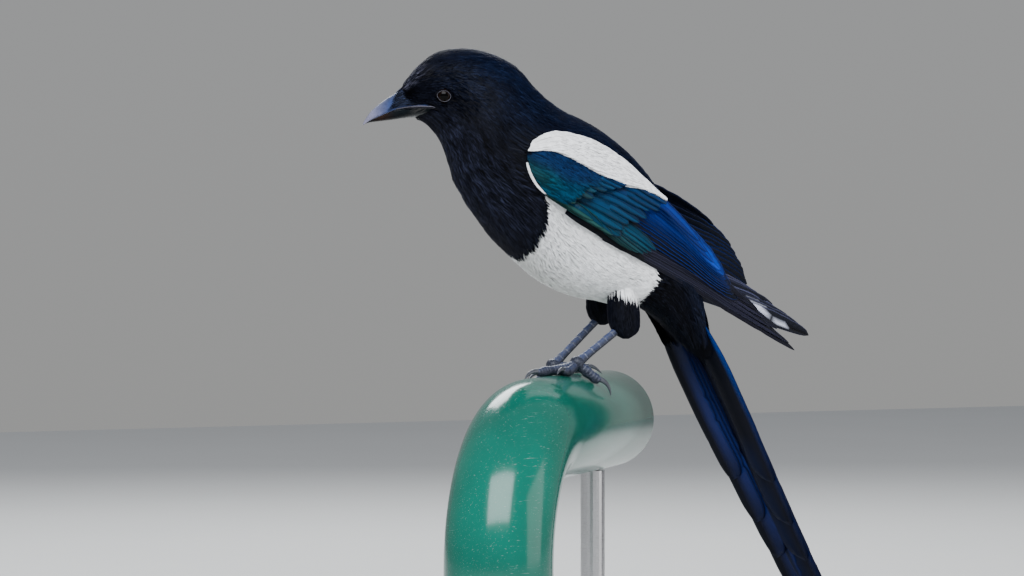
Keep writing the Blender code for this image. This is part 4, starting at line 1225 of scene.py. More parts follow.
def make_trousers():
    """Soft black feathers round the legs' tops, under the long white feathers of the flank."""
    for side, word in SIDES:
        rows = trouser_rows(side, TROUSER_COAT)
        count = dense(2900 if side < 0 else 2000)
        part = CHANCE.uniform(0.0, 0.86, count) ** 0.85
        turn = CHANCE.uniform(0, 2 * math.pi, count)
        run = STRAND_RUN
        spot = smooth_rows(rows, np.clip(part[:, None] + run * 0.24, 0, 1) * (len(rows) - 1))
        out = np.stack((np.cos(turn), np.sin(turn), np.zeros(count)), -1)[:, None, :]
        grow = -1.5 + 1.5 * np.sin(run * 1.7) * vary(0.8, 1.15, count)
        line = spot[..., :3] + out * np.maximum(spot[..., 3] + grow, 0.3)[..., None]
        seen = line[:, 2]
        edge = FLANK_EDGE_HIGH - FLANK_EDGE_FALL * (seen[:, 0] - FLANK_EDGE_FRONT)
        flank = ((seen[:, 2] > edge + CHANCE.normal(0, 0.8, count)) & (side < 0))[:, None]
        width = 0.34 * vary(0.8, 1.3, count) * taper(run)
        black = np.array(BLACK) * vary(0.5, 1.9, count)
        white = np.array(WHITE) * vary(0.92, 1.0, count)
        tint = np.where(flank, white, black)
        place = np.stack((0.76 + 0.2 * turn / (2 * math.pi), (0.05 if side < 0 else 0.3) + 0.2 * part), -1)
        lay_strands(f"trouser_{word}", line, np.broadcast_to(out, line.shape), width, 0.35,
                    tint[:, None, :], place)


def make_bristles():
    """Stiff feathers that lie forward over the bill's root and hide the nostrils."""
    count = dense(2600)
    turn = np.radians(CHANCE.uniform(3, 177, count))
    begin = CHANCE.uniform(18.0, 26.5, count)
    side_low = 1 - np.sin(turn)
    length = (4.0 + 4.2 * side_low) * CHANCE.uniform(0.7, 1.1, count)
    run = np.linspace(0, 1, 5)[None, :]
    forward = begin[:, None] + length[:, None] * run
    row = smooth_rows(BEAK, np.interp(forward, BEAK[:, 0], np.arange(len(BEAK))))
    lift = 0.2 + vary(0.05, 1.0, count) * np.sin(run * 2.4)
    half = row[..., 4] * 0.96 + lift
    tall = row[..., 1] - row[..., 2] + lift
    droop = np.sin(turn)[:, None] - 0.30 * run * np.sin(turn)[:, None] * vary(0.5, 1.2, count)
    side = half * np.cos(turn)[:, None]
    height = row[..., 2] + 0.5 + tall * droop ** 0.9
    line = head_points(forward, side, height)
    above = head_points(forward, side * 1.2, row[..., 2] + 0.5 + tall * 1.2 * droop ** 0.9)
    width = 0.13 * vary(0.7, 1.4, count) * taper(run)
    shade = np.exp(CHANCE.normal(0.0, 0.9, count))
    tint = np.array((0.004, 0.006, 0.014)) * shade[:, None]
    place = np.stack((0.76 + 0.2 * turn / math.pi, 0.6 + 0.1 * (begin - 17) / 9), -1)
    lay_strands("bristles", line, above - line, width, 0.7, tint[:, None, :], place, soft=0.9)


def bill_colours(rings, upper):
    """Dark horn; the upper half is painted slate blue as a painted sheen, paler toward the tip, with a
    painted highlight along the ridge; brownish under the front.
    """
    forward, _, height = head_sizes(rings)
    mouth = np.interp(forward, BEAK[:, 0], BEAK[:, 2])
    culmen = np.interp(forward, BEAK[:, 0], BEAK[:, 1])
    tip = ramp(forward, 33.0, 11.0)[..., None]
    if upper:
        # painted highlight along the top of the ridge
        ridge = np.clip((height - mouth) / np.maximum(culmen - mouth, 0.3), 0, 1)[..., None] ** 6
        # painted sheen: slate blue over the dark horn, paler toward the tip
        slate = mix((0.026, 0.042, 0.115), (0.150, 0.145, 0.200), tip)
        return slate * (1 - 0.5 * ridge) + np.array((0.15, 0.16, 0.20)) * 0.5 * ridge
    brown = hump(forward, 36.5, 4.0)[..., None]
    return mix((0.002, 0.004, 0.006), (0.014, 0.007, 0.005), brown)


# vanes of wings and tail
VANE_ACROSS = np.array((-1.0, -0.86, -0.5, -0.07, 0.0, 0.07, 0.5, 0.86, 1.0, 0.86, 0.5, 0.0, -0.5, -0.86))
UNDER = np.array((0, 0, 0, 0, 0, 0, 0, 0, 0, 1, 1, 1, 1, 1), bool)


SHAFT = np.abs(VANE_ACROSS) < 0.05
RIM = np.abs(VANE_ACROSS) > 0.9


def web_colours(side, rows, lower, upper, shaft, rim, under=(0.006, 0.007, 0.012)):
    """Colours over one vane of a folded wing: its two webs, shaft, rim and underside, with painted shade next
    to the rim where the next vane overlaps it.
    """
    lower_web = VANE_ACROSS * side < 0
    tint = np.where(lower_web[:, None], np.array(lower), np.array(upper))
    tint = np.where(UNDER[:, None], np.array(under), tint)
    tint = np.where(SHAFT[:, None], np.array(shaft), tint)
    # painted shade: a dark band next to the rim, where the next vane overlaps
    painted_overlap_shade = (np.abs(VANE_ACROSS) > 0.8) & ~UNDER
    tint = np.where(painted_overlap_shade[:, None], tint * 0.25, tint)
    tint = np.where(RIM[:, None], np.array(rim), tint)
    return np.repeat(tint[None], rows, axis=0)


class Tier:
    """Vanes that are joined into one piece once all of them are laid."""

    def __init__(self):
        self.rings = []
        self.tints = []
        self.maps = []
        self.barbs = []

    def add(self, path, beside, left, right, tints, bake, thick=0.3, camber=0.12, shaft=0.16):
        """path and beside are (row, place); left and right the half widths of each row."""
        ahead = unit(np.gradient(path, axis=0))
        outward = unit(np.cross(beside, ahead))
        beside = np.cross(ahead, outward)
        across = VANE_ACROSS
        half = np.where(across[None, :] < 0, left[:, None], right[:, None])
        offset = across[None, :] * half
        height = -camber * np.abs(offset) ** 1.5 / np.maximum(half, 0.5) ** 0.5
        ridge = np.where(across == 0.0, shaft, 0.0)[None, :] * np.linspace(1, 0.2, len(path))[:, None]
        height = height + ridge - np.where(UNDER, thick, 0.0)[None, :]
        rings = path[:, None, :] + beside[:, None, :] * offset[..., None]
        rings = rings + outward[:, None, :] * height[..., None]
        run = np.concatenate(([0.0], np.cumsum(np.linalg.norm(np.diff(path, axis=0), axis=-1))))
        self.rings.append(rings)
        self.tints.append(np.clip(tints, 0, 0.95))
        self.barbs.append(np.stack((offset / 10, np.broadcast_to(run[:, None] / 10, offset.shape)), -1))
        wide = np.broadcast_to(bake[0] + across[None, :] * bake[2], offset.shape)
        tall = np.broadcast_to(bake[1] + (run / run[-1] - 0.5)[:, None] * bake[3], offset.shape)
        self.maps.append(np.stack((wide, tall), -1))

    def lay(self, name, finish):
        """Join all the vanes laid so far into one piece."""
        maps = {"OFBake": np.array(self.maps), "Barbs": np.array(self.barbs)}
        piece = lay_rings(name, np.array(self.rings), finish, np.array(self.tints), maps)
        return piece


def vane_profile(part, root, tip_round, tip_at):
    """Width share along a vane: narrow root, full middle and a rounded tip."""
    share = root + (1 - root) * np.clip(part / 0.22, 0, 1) ** 0.8
    rest = np.clip((part - tip_at) / (1 - tip_at), 0, 1)
    return share * np.maximum((1 - rest ** tip_round) ** (1 / tip_round), 0.04)


def fray(rows, amount):
    """Small uneven steps along a vane's edge, with two splits."""
    edge = 1 + CHANCE.normal(0, amount, rows)
    split = CHANCE.integers(rows // 3, rows, 2)
    edge[split] -= CHANCE.uniform(0.0, 0.14, 2)
    return np.clip(edge, 0.5, 1.1)


def wing_vane(tier, side, root, tip, half, heights, tints, bake, bow=0.0, tip_round=2.2,
              tip_at=0.7, narrow=0.62, root_share=0.5, camber=0.08, thick=0.28, frayed=0.02, ovals=()):
    """One vane on the folded wing."""
    rows = len(tints)
    part = np.linspace(0, 1, rows)
    spaced = 1 - (1 - part) ** 1.25
    along = root[0] + (tip[0] - root[0]) * spaced
    across = root[1] + (tip[1] - root[1]) * spaced + bow * np.sin(math.pi * spaced)
    height = heights[0] + (heights[1] - heights[0]) * np.minimum(1.0, spaced * 1.6)
    path = wing_points(side, along, across, height)
    above = wing_points(side, along, across + 1.0, height)
    beside = unit(above - path) * side
    width = half * vane_profile(spaced, root_share, tip_round, tip_at)
    low = width * narrow * fray(rows, frayed)
    high = width * fray(rows, frayed)
    left, right = (low, high) if side > 0 else (high, low)
    tints = tints * CHANCE.uniform(0.82, 1.18)
    for middle_along, middle_across, reach_on, wide in ovals:
        places = across[:, None] + side * VANE_ACROSS[None, :] * width[:, None]
        inside = ((along[:, None] - middle_along) / reach_on) ** 2 + ((places - middle_across) / wide) ** 2
        white = (inside < 1) & ~RIM[None, :]
        tints = np.where(white[..., None], np.array((0.50, 0.52, 0.62)), tints)
    tier.add(path, beside, left, right, tints, bake, thick, camber)


def strip(number, wing):
    """A tall bake strip for a long vane, one beside the other."""
    return (0.745 + 0.008 * number, 0.76 + 0.11 * wing, 0.0035, 0.09)


def patch(side, along, across):
    """A small bake patch at a vane's root on the skin's unwrap."""
    quarter = 0.22 if side < 0 else 0.52
    return (quarter + across * 0.004, 0.42 + along * 0.0028, 0.0015, 0.003)


def fan(first, last, count):
    """Evenly spread places from the first to the last."""
    return [tuple(np.array(first) * (1 - part) + np.array(last) * part) for part in np.linspace(0, 1, count)]


def primaries(flight, side):
    """Nine vanes that make the folded wing's point; the far wing's show white ovals."""
    far = side > 0
    ends = zip(fan((50, -15.0), (50, -5.0), 9), fan((188, 0.2), (143, 4.0), 9))
    for number, (root, tip) in enumerate(ends):
        share = number / 8
        if far:
            tip = (tip[0] + 5.0, tip[1] + 1.6 + 3.5 * share)
        shade = CHANCE.uniform(0.35, 1.9)
        tints = web_colours(side, 32, np.array((0.011, 0.011, 0.024)) * shade, (0.004, 0.0045, 0.010),
                            (0.001, 0.001, 0.002), np.array((0.050, 0.053, 0.100)) * shade)
        root = (root[0], root[1] + CHANCE.normal(0, 0.35) - (3.0 if far else 0.0))
        tip = (tip[0], tip[1] + CHANCE.normal(0, 0.45) * (number > 0))
        half = 5.6 if far else 3.7 * CHANCE.uniform(0.85, 1.25)
        wing_vane(flight, side, root, tip, half, (-1.8, -0.2 + 0.48 * number), tints, strip(number, far),
                  bow=2.2, tip_round=2.3 if far else 1.7, tip_at=0.72 if far else 0.60, narrow=0.5,
                  camber=0.04, ovals=FAR_OVALS if far else ())


def secondaries(flight, side):
    """Nine vanes over the primaries, bluer toward the body."""
    far = side > 0
    blue = FAR_BLUE if far else 1.0
    ends = zip(fan((44, -4.0), (36, 19 if far else 13), 9), fan((138, 2.2), (119, 5.6), 9))
    for number, (root, tip) in enumerate(ends):
        share = number / 8
        if far:
            tip = (np.interp(share, *FAR_TIP_ALONG), np.interp(share, *FAR_TIP_ACROSS))
        lower = np.array(COBALT) * share ** 2.0 * blue * CHANCE.uniform(0.5, 1.3) + np.array(INK)
        upper = np.array(COBALT) * share ** 4 * blue + np.array(INK)
        rim = np.array(COBALT) * 0.9 * blue + np.array(INK)
        tints = web_colours(side, 32, lower, upper, (0.002, 0.005, 0.014), rim, (0.003, 0.004, 0.008))
        root = (root[0], root[1] + CHANCE.normal(0, 0.3))
        tip = (tip[0] + CHANCE.normal(0, 0.8), tip[1] + CHANCE.normal(0, 0.35))
        wing_vane(flight, side, root, tip, 6.2 if far else 5.6, (-1.0, 3.2 + 0.38 * number), tints,
                  strip(9 + number, far), bow=0.5, tip_round=2.0, tip_at=0.78, narrow=0.58, camber=0.05)


def tertials(flight, side):
    """Three blue vanes nearest the body."""
    far = side > 0
    ends = zip(fan((32, 16 if far else 12), (28, 24 if far else 13.4), 3), fan((113, 6.4), (99, 9.8), 3))
    for number, (root, tip) in enumerate(ends):
        share = number / 2
        if far:
            tip = (126 - 4 * share, 22.4 + 3.2 * share)
        deep = np.array(COBALT) * 0.75 * (FAR_BLUE if far else 1.0)
        tints = web_colours(side, 32, deep * 0.6, deep * 1.1, deep * 0.3, deep * 0.7, (0.003, 0.004, 0.008))
        wing_vane(flight, side, root, tip, 6.3 if far else 4.2, (-0.8, 6.4 + 0.2 * number), tints,
                  strip(18 + number, far), bow=1.0, tip_round=1.8, tip_at=0.66, narrow=0.7, camber=0.05)


def covert_row(coverts, side, roots, tips, count, half, first, step, lower, upper, rim,
               tip_round=2.0, tip_at=0.62, narrow=0.75):
    """One row of wing coverts, each lying over the last."""
    starts = fan(*roots, count)
    spots = np.array(tips, float)
    place = np.linspace(0, len(spots) - 1, count)
    ends = np.stack([np.interp(place, np.arange(len(spots)), spots[:, axis]) for axis in (0, 1)], -1)
    ends += CHANCE.normal(0, 0.5, ends.shape) * np.array((1.6, 0.4))
    for order in range(count):
        share = order / (count - 1)
        low = mix(*lower, share) * CHANCE.uniform(0.75, 1.3)
        high = mix(*upper, share) * CHANCE.uniform(0.5, 0.9)
        tints = web_colours(side, 16, low, high, low * 0.2, np.array(rim) * 0.5 + low * 0.6)
        wing_vane(coverts, side, starts[order], tuple(ends[order]), half * CHANCE.uniform(0.9, 1.15),
                  (-0.6, first + step * order), tints, patch(side, *starts[order]), bow=0.4,
                  tip_round=tip_round, tip_at=tip_at, narrow=narrow, camber=0.06, thick=0.22)


def lesser_coverts(side, word):
    """Small soft feathers over the wing's front, green before and navy toward the back."""
    count = dense(4400)
    along = CHANCE.uniform(-4.5, 34, count)
    low = np.interp(along, *LESSER_LOW)
    high = np.interp(along, *LESSER_HIGH)
    across = low + (high - low) * CHANCE.uniform(0, 1, count)
    length = CHANCE.uniform(6, 10, count)
    border = np.interp(along, *LESSER_NAVY)
    keep = (along + length < 29 + 0.5 * across) | (across > border)
    along, across, length, border, low = (values[keep][:, None]
                                          for values in (along, across, length, border, low))
    count = len(along)
    edge = np.clip((across - low) / 3.0, 0, 1)
    height = 1.2 + 2.0 * edge + (2.7 + vary(-0.3, 0.3, count)) * np.sin(STRAND_RUN * 1.7)
    navy = 1 / (1 + np.exp(-(across - border) / 1.2))
    front = np.clip((12 - along) / 14, 0, 1)
    green = mix(TEAL, SEA_GREEN, front)
    tint = (np.array((0.003, 0.014, 0.050)) * navy + green * (1 - navy)) * vary(0.5, 1.4, count)
    width = 0.55 * vary(0.7, 1.3, count) * taper(STRAND_RUN, 3.0)
    lay_on_wing(side, f"lesser_coverts_{word}", along + length * STRAND_RUN,
                across - 0.06 * length * STRAND_RUN, height, width, 0.25, tint, slot="flight_feathers",
                finish=SOFT_VANES)


def make_wing(side, word):
    """The folded wing, laid from the primaries up to the shoulder."""
    flight = Tier()
    primaries(flight, side)
    secondaries(flight, side)
    tertials(flight, side)
    piece = flight.lay(f"flight_feathers_{word}", VANES)
    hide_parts(f"wing_{word}")
    coverts = Tier()
    for row in COVERT_ROWS:
        covert_row(coverts, side, *row)
    coverts.lay(f"coverts_{word}", VANES)
    lesser_coverts(side, word)


def lay_on_wing(side, name, along, across, height, width, thick, tint, **more):
    """Strands that follow the folded wing's bulge."""
    line = wing_points(side, along, across, height)
    outward = wing_points(side, along, across, height + 1) - line
    place = np.stack(patch(side, along[:, 0], across[:, 0])[:2], -1)
    lay_strands(name, line, outward, width, thick, tint[:, None, :], place, **more)


def front_edge():
    """A thin line of white feathers in front of each folded wing."""
    for side, word in SIDES:
        count = dense(420)
        spot = smooth_rows(FRONT_EDGE, vary(1.6, 3.7, count) + 1.1 * STRAND_RUN)
        beside = vary(1.2, 1.8, count)
        height = vary(0.2, 1.0, count) + 0.5 * np.sin(STRAND_RUN * 1.8)
        width = 0.26 * vary(0.8, 1.25, count) * taper(STRAND_RUN)
        tint = np.array(WHITE) * vary(0.88, 1.0, count)
        lay_on_wing(side, f"shoulder_edge_{word}", spot[..., 0] + beside * 0.8, spot[..., 1] + beside * 0.6,
                    height, width, 0.3, tint, soft=0.4)


def make_scapulars():
    """White shoulder feathers in long soft strands."""
    for side, word in SIDES:
        count = dense(4200)
        along = vary(-5.5, 66, count)
        share = vary(0.0, 1.0, count)
        length = np.minimum(vary(9, 15, count), np.maximum(71.5 - along, 5))
        along = along + length * STRAND_RUN
        tops = np.interp(along, SCAPULAR_ALONG, SCAPULAR_TOP)
        lows = np.interp(along, SCAPULAR_ALONG, SCAPULAR_LOW)
        height = 4.0 + (vary(6.2, 7.6, count) - 4.0) * np.sin(STRAND_RUN * 1.8)
        width = 0.46 * vary(0.8, 1.25, count) * taper(STRAND_RUN)
        tint = np.array(WHITE) * vary(0.93, 1.02, count)
        lay_on_wing(side, f"scapulars_{word}", along, lows + (tops - lows) * share, height, width, 0.3, tint,
                    soft=0.35)


def make_shoulders():
    """Body feathers that run up from the body to each wing's front and upper edge."""
    for side, word in SIDES:
        grid = np.meshgrid(np.linspace(4.0, 12.5, 110), -side * np.linspace(15.0, 165.0, 90))
        ground_at, ground_angle = (values.ravel() for values in grid)
        ground = body_points(ground_at, ground_angle)
        count = dense(2000)
        edge = CHANCE.uniform(0, len(SHOULDER_EDGE) - 1, count)
        spot = smooth_rows(SHOULDER_EDGE, edge)
        low = np.where(edge < 4, 0.0, 1.5)
        along = spot[:, 0] + CHANCE.uniform(-0.5, 2.0, count)
        across = spot[:, 1] - CHANCE.uniform(0, 1, count)
        high = low + CHANCE.uniform(0.1, 1.0, count) * np.where(edge < 4, 0.8, 2.7)
        goal = wing_points(side, along, across, high)
        nearest = np.array([np.argmin(((ground - place) ** 2).sum(-1)) for place in goal])
        run = STRAND_RUN
        begin = CHANCE.uniform(0.2, 0.9, count)
        at_rows = ground_at[nearest][:, None] - begin[:, None] * (1 - run)
        angle_rows = ground_angle[nearest][:, None] + CHANCE.normal(0, 3.0, count)[:, None] * (1 - run)
        grow = coat_top(at_rows, angle_rows) - 0.8 * (1 - run)
        share = run ** 1.7
        ground_line = body_points(at_rows, angle_rows, grow)
        line = ground_line * (1 - share)[..., None] + goal[:, None, :] * share[..., None]
        outward = body_points(at_rows, angle_rows, grow + 1) - ground_line
        width = 0.62 * vary(0.8, 1.25, count) * taper(run)
        tint = body_tint(at_rows[:, 0], angle_rows[:, 0], count)
        lay_strands(f"shoulder_{word}", line, outward, width, 0.35, tint[:, None, :],
                    bake_place(at_rows[:, 0], angle_rows[:, 0]))


def tail_coverts():
    """Soft black feathers over and under the tail's root; the lower ones end in a slanting point."""
    for level, word in ((-1.0, "under"), (1.0, "over")):
        count = dense(3000)
        off = CHANCE.uniform(-17, 17.5, count) * (1.0 if level < 0 else 0.72)
        if level < 0:
            reach_on = np.interp(off, *UNDER_TAIL_REACH)
        else:
            reach_on = np.interp(np.abs(off), *OVER_TAIL_REACH)
        begin = CHANCE.uniform(-6, 1, count) + CHANCE.uniform(0, 1, count) * (reach_on - 10)
        end = np.minimum(begin + CHANCE.uniform(10, 18, count), reach_on + CHANCE.normal(0, 1.0, count))
        run = STRAND_RUN
        line_along = begin[:, None] + (end - begin)[:, None] * run
        thick = np.interp(line_along, *TAIL_ROOT_THICK)
        thick = thick * (1.0 if level < 0 else 0.8)
        spread = off[:, None] * np.interp(line_along, (0, 30, 60), (1.05, 1.0, 0.85))
        bulge = np.sqrt(np.clip(1 - (spread / 21.0) ** 2, 0.1, 1))
        puff = 0.8 + 0.22 * np.sin(run * 1.7) * vary(0.3, 1, count)
        height = 2.4 + level * thick * bulge * puff
        line = tail_points(line_along, spread, height)
        outward = tail_points(line_along, spread * 1.12, height + level) - line
        width = 0.45 * vary(0.8, 1.25, count) * taper(run)
        tint = np.array(BLACK) * vary(0.5, 1.7, count)
        place = np.stack((0.45 + off * 0.0025, 0.85 + begin * 0.003 + 0.02 * level), -1)
        lay_strands(f"coverts_{word}_tail", line, outward, width, 0.35, tint[:, None, :], place)


def make_tail():
    """Twelve graduated feathers, the middle pair longest and on top."""
    tail = Tier()
    rows = 44
    part = np.linspace(0, 1, rows)
    # painted sheen on the underside: a navy to periwinkle band along each vane, bluer tips and bright blue
    # near the root, over dark feathers
    painted_sheen_band = hump(part, 0.62, 0.30)[:, None, None]
    painted_inner_sheen = np.array((0.0008, 0.0040, 0.030)) + np.array((0.008, 0.014, 0.075)) * painted_sheen_band
    painted_tip_sheen = ramp(part, 0.70, 0.2)[:, None, None]
    dark_with_tip_sheen = np.array((0.0012, 0.0016, 0.004)) + np.array((0.001, 0.004, 0.022)) * painted_tip_sheen
    painted_root_sheen = np.array((0.001, 0.030, 0.190)) * hump(part, 0.15, 0.3)[:, None, None]
    tips = ramp(part, 0.85, 0.15)[:, None, None]
    for pair in range(6):
        for side in (-1, 1):
            level = 4.6 - 0.86 * (pair + 1) if pair else 4.6 + 0.86 * (0.5 * side + 0.5)
            length = TAIL_LENGTHS[pair]
            along = 18.0 + (length - 18.0) * part
            spread = TAIL_OFFSETS[pair] * np.interp(along, TAIL_ALONG, TAIL_SPREAD)
            path = tail_points(along, side * spread, level * np.minimum(1.0, 0.5 + part))
            beside = np.broadcast_to(tail_points(0, 0.0, 0) - tail_points(0, 1.0, 0), path.shape)
            width = TAIL_WIDTHS[pair] / 2 * vane_profile(part, 0.35, 2.0, 0.88)
            outer = width * (0.55 if pair else 0.95) * fray(rows, 0.006)
            inner = width * (1.35 if pair else 1.0) * fray(rows, 0.006)
            left, right = (inner, outer) if side < 0 else (outer, inner)
            outer_web = (VANE_ACROSS * side < -0.1)[None, :, None]
            above = np.array((0.002, 0.014, 0.060)) * (1 - 0.3 * outer_web)
            above = above + np.array((0.0, 0.022, 0.010)) * outer_web
            # the underside's webs carry the painted sheen
            if side > 0:
                below = np.where(outer_web, np.array((0.0022, 0.003, 0.006)), painted_inner_sheen)
            else:
                below = np.where(outer_web, painted_inner_sheen * 0.5 + painted_root_sheen * (pair > 2), dark_with_tip_sheen)
            if pair < 2:
                below = np.where(outer_web, np.array((0.003, 0.004, 0.008)), dark_with_tip_sheen)
            tints = np.where(UNDER[:, None], below, above)
            tints = np.where(SHAFT[:, None], np.array((0.003, 0.003, 0.007)), tints)
            tints = np.where(RIM[:, None], np.array((0.008, 0.010, 0.026)), tints)
            tints = tints * (1 - 0.45 * tips)
            bake = (0.03 + 0.03 * (pair * 2 + (side > 0)), 0.5, 0.012, 0.96)
            tail.add(path, beside, left, right, tints, bake, 0.42, 0.03, 0.45)
    piece = tail.lay("tail_feathers", TAIL_VANES)
    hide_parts("tail")
    tail_coverts()


# legs and feet
def hub_of(side):
    """Where one foot's toes meet."""
    along, around = rail_place(FOOT[side])
    return rail_points(along, around, RAIL_RADIUS + HUB_LIFT)


def make_tarsus(side, word):
    """The bare leg with overlapping scutes down its front."""
    aim = unit(ANKLE[side] - hub_of(side))
    begin = hub_of(side) + aim * 1.4
    part = np.linspace(0, 1, 120)
    path = begin + (ANKLE[side] - begin) * part[:, None]
    swell = 0.55 * np.exp(-(part / 0.12) ** 2) + 0.9 * np.exp(-((1 - part) / 0.14) ** 2)
    away = round_path(path, 28, (0.0, 1.0, 0.0))
    front = away @ unit(np.array((-1.0, 0.0, 0.25)))
    scute = (part[:, None] * 8.5 + 0.06 * front) % 1.0
    raised = 0.20 * (1 - scute) * np.clip(front + 0.35, 0, 1)
    slim = 1 - 0.10 * np.abs(away @ np.array((0.0, 1.0, 0.0))) ** 2
    radius = (TARSUS_RADIUS - 0.12 + swell[:, None]) * slim + raised
    rings = path[:, None, :] + away * radius[..., None]
    joint = ((scute > 0.90) & (front > -0.2))[..., None]
    # painted sheen: the front of the leg is painted blue grey, the back dark
    blue = np.clip(front * 0.8 + 0.2, 0, 1)[..., None]
    tint = np.where(joint, np.array(LEG_JOINT), mix(LEG_DARK, LEG_SHEEN_BLUE, blue))
    piece = loft_rings(f"shank_{word}", rings, LEG_SCALES, tint[None])
    close_piece(piece, "legs", f"tarsus_{word}")


def over_rail(side, turn, run, lift):
    """A line from a foot's middle over the rail, turned from the bird's heading."""
    along, around = rail_place(FOOT[side])
    heading = math.radians(180.0 - RAIL_YAW + turn)
    return rail_points(along + run * math.cos(heading), around - run * math.sin(heading) / RAIL_RADIUS,
                       RAIL_RADIUS + lift)


def round_path(path, sides, helper=(0.0, 0.0, 1.0)):
    """Directions straight out from a path, all round it."""
    return unit(tube_rings(path, np.ones(len(path)), sides, helper) - path[:, None, :])


def make_foot(side, word):
    """Four scaled toes with pads, joined at the hub, and their claws."""
    rows = 72
    sides = 20
    forms = []
    tints = []
    for name, (turn, length, radius, reach_on) in TOES[side].items():
        run = np.linspace(0, length, rows)
        lift = radius * 0.9 + (HUB_LIFT - radius) * np.maximum(0.0, 1 - run / TOE_LANDING) ** 1.5
        path = over_rail(side, turn, run, lift)
        part = run / length
        knuckle = np.interp(part, *KNUCKLES)
        away = round_path(path, sides)
        up = (away * unit(from_rail(path))[:, None, :]).sum(-1)
        scute = (run[:, None] / 1.55) % 1.0
        raised = 0.34 * (1 - scute) * np.clip(up + 0.3, 0, 1) - 0.04
        pad = 0.30 * np.abs(np.sin(part * math.pi * 3))[:, None] * np.clip(-up, 0, 1)
        shape = radius * knuckle[:, None] * (1 - 0.10 * (1 - np.abs(up))) + raised + pad - 0.12
        rings = path[:, None, :] + away * shape[..., None]
        flat = from_rail(rings)
        far = np.linalg.norm(flat, axis=-1, keepdims=True)
        forms.append(rings + flat / far * np.maximum(RAIL_RADIUS + 0.12 - far, 0))
        joint = ((scute > 0.86) & (up > -0.1))[..., None]
        # painted sheen: the tops of the toes are painted blue grey
        body = np.array(LEG_DARK) * 1.1 + np.array(LEG_SHEEN_BLUE) * 0.35 * np.clip(up, 0, 1)[..., None]
        tints.append(np.where(joint, np.array(LEG_JOINT) * 0.8, body))
        make_claw(side, f"{word}_{name}", turn, length, radius, reach_on)
    aim = unit(ANKLE[side] - hub_of(side))
    line = hub_of(side) + aim * np.linspace(-3.0, 3.4, rows)[:, None]
    rings = tube_rings(line, np.sqrt(np.clip(1 - np.linspace(-1, 1, rows) ** 2, 0.03, 1)) * 3.7, sides)
    forms.append(rings)
    tints.append(np.broadcast_to(np.array(LEG_DARK) * 1.4, rings.shape))
    piece = lay_rings(f"toes_{word}", np.array(forms), LEG_SCALES, np.array(tints))
    close_piece(piece, "legs", f"foot_{word}")


def make_claw(side, word, turn, length, radius, reach_on):
    """A curved claw, narrower than it is deep."""
    part = np.linspace(0, 1, 26)
    run = length - 1.2 + (reach_on * 0.85 + 1.65) * part
    lift = radius * 0.9 + 1.7 * np.sin(math.pi * np.minimum(1.0, part * 0.9 + 0.1)) - 1.2 * part
    path = over_rail(side, turn, run, lift)
    radii = 1.35 * (1 - part) ** 0.7 + 0.12
    away = round_path(path, 14)
    up = (away * unit(from_rail(path))[:, None, :]).sum(-1)
    rings = path[:, None, :] + away * (radii[:, None] * (1 - 0.28 * (1 - np.abs(up))))[..., None]
    close_piece(loft_rings(f"nail_{word}", rings, CLAW_HORN), "bill", f"claw_{word}")


# rail and stand
def make_rail():
    """A round tube: one straight length, a bend spun from its end and a drop below it."""
    yaw = math.radians(RAIL_YAW)
    axis = Vector((math.cos(yaw), math.sin(yaw), 0.0))
    level = Vector(CREST) * MM - Vector((0, 0, RAIL_RADIUS * MM))
    middle = level + axis * ((RAIL_BACK - RAIL_BEND_START) / 2 * MM)
    bpy.ops.mesh.primitive_cylinder_add(vertices=96, radius=RAIL_RADIUS * MM,
                                        depth=(RAIL_BACK + RAIL_BEND_START) * MM, location=middle,
                                        rotation=(0.0, math.pi / 2, yaw))
    rail = bpy.context.object
    rail.name = "rail"
    apply_place(rail)
    bpy.ops.object.mode_set(mode="EDIT")
    form = bmesh.from_edit_mesh(rail.data)
    bpy.ops.mesh.select_mode(type="FACE")
    bpy.ops.mesh.select_all(action="DESELECT")
    for face in form.faces:
        face.select_set(face.normal.dot(axis) < -0.9)
    bmesh.update_edit_mesh(rail.data)
    side = axis.cross(Vector((0, 0, 1)))
    turn_about = level - axis * (RAIL_BEND_START * MM) - Vector((0, 0, RAIL_BEND_RADIUS * MM))
    bpy.ops.mesh.spin(steps=32, angle=-math.pi / 2, center=turn_about, axis=side)
    drop = (RAIL_DROP - RAIL_BEND_RADIUS - RAIL_RADIUS) * MM
    bpy.ops.mesh.extrude_region_move(TRANSFORM_OT_translate={"value": (0.0, 0.0, -drop)})
    bpy.ops.mesh.select_all(action="SELECT")
    bpy.ops.mesh.remove_doubles(threshold=1e-6)
    bpy.ops.mesh.normals_make_consistent(inside=False)
    bpy.ops.object.mode_set(mode="OBJECT")
    rims = rail.modifiers.new("rims", "BEVEL")
    rims.width = 1.2 * MM
    rims.segments = 3
    rims.angle_limit = math.radians(60)
    bpy.ops.object.modifier_apply(modifier="rims")
    bpy.ops.object.shade_smooth_by_angle(angle=math.radians(40))
    rail.data.materials.append(RAIL_PAINT)
    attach(rail, BODY)
    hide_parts("perch_rail")
    return rail


def dress_stand():
    """Paint and metal for the stand, whose solids are shown as they are."""
    for node, finish in (("stand_base", BOARD), ("stand_rod_front", ROD), ("stand_rod_back", ROD)):
        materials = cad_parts[node].data.materials
        materials.clear()
        materials.append(finish)


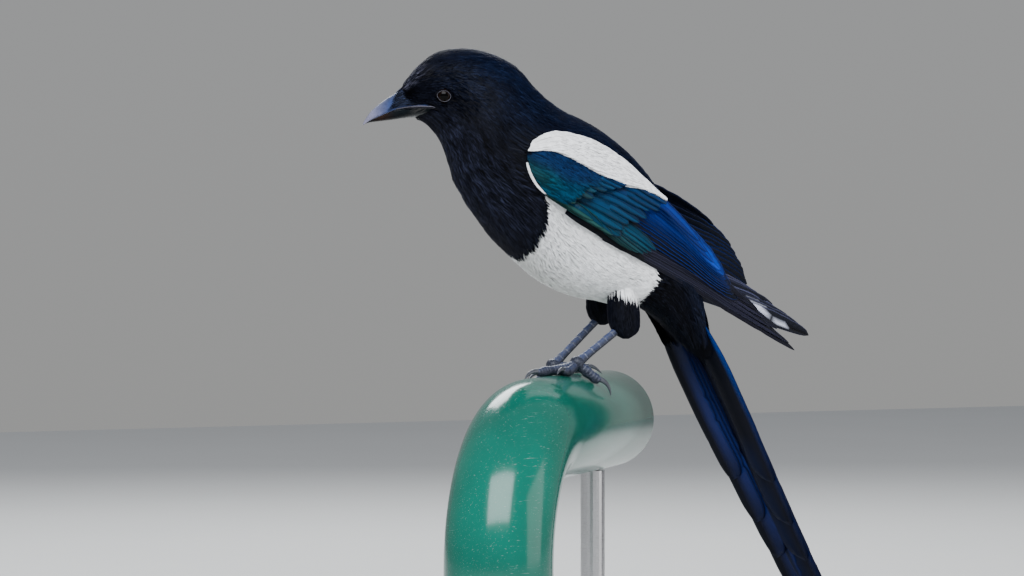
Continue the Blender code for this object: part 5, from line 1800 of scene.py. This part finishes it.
# light, floor and camera
def add_area(name, place, target, size, power, colour):
    """One soft lamp that faces its target."""
    light = bpy.data.lights.new(name, "AREA")
    light.shape = "RECTANGLE"
    light.size = size[0]
    light.size_y = size[1]
    light.energy = power
    light.color = colour
    lamp = bpy.data.objects.new(name, light)
    lamp.location = place
    lamp.rotation_euler = (Vector(target) - Vector(place)).to_track_quat("-Z", "Y").to_euler()
    bpy.context.scene.collection.objects.link(lamp)


def add_stage():
    """Floor, sky and three soft lamps."""
    bpy.ops.mesh.primitive_plane_add(size=6.0, location=(0.0, 0.0, 0.0))
    floor = bpy.context.object
    floor.name = "floor"
    floor.data.materials.append(FLOOR)
    world = bpy.data.worlds.new("studio")
    bpy.context.scene.world = world
    world.use_nodes = True
    sky = Wiring(world.node_tree)
    parts = sky.add("SeparateXYZ", {0: sky.add("TexCoord").outputs["Generated"]}).outputs
    height = sky.reach(parts[2], -0.1, 0.9, 0.0, 1.0)
    ground = sky.nodes["Background"].inputs
    sky.feed(ground["Color"], sky.blend(height, (0.60, 0.60, 0.59), (0.66, 0.70, 0.77)))
    ground["Strength"].default_value = 0.55
    middle = (0.0, 0.03, 0.24)
    add_area("window", (-0.9, -1.3, 1.5), middle, (1.7, 1.2), 88.0, (0.94, 0.965, 1.0))
    add_area("fill", (1.3, -1.2, 0.5), middle, (1.2, 1.2), 11.0, (1.0, 0.98, 0.96))
    add_area("rim", (0.5, 1.2, 1.2), middle, (1.0, 0.6), 22.0, (0.95, 0.98, 1.0))


def add_camera():
    """The camera at the photo's height and turn."""
    lens = bpy.data.cameras.new("camera")
    lens.lens = CAMERA_LENS
    lens.sensor_width = 36.0
    camera = bpy.data.objects.new("camera", lens)
    camera.location = CAMERA_PLACE
    camera.rotation_euler = (math.radians(90.0), 0.0, math.radians(CAMERA_TURN))
    bpy.context.scene.collection.objects.link(camera)
    bpy.context.scene.camera = camera


add_camera()
make_skin()
make_coat()
make_trousers()
make_bristles()
make_bill()
make_lips()
mouth_hairs()
for eye_side, eye_word in ((1, "left"), (-1, "right")):
    make_eye(eye_side, eye_word)
    make_lids(eye_side, eye_word)
for near_side, near_word in SIDES:
    make_wing(near_side, near_word)
    make_tarsus(near_side, near_word)
    make_foot(near_side, near_word)
make_scapulars()
front_edge()
make_tail()
make_shoulders()
make_rail()
dress_stand()
add_stage()
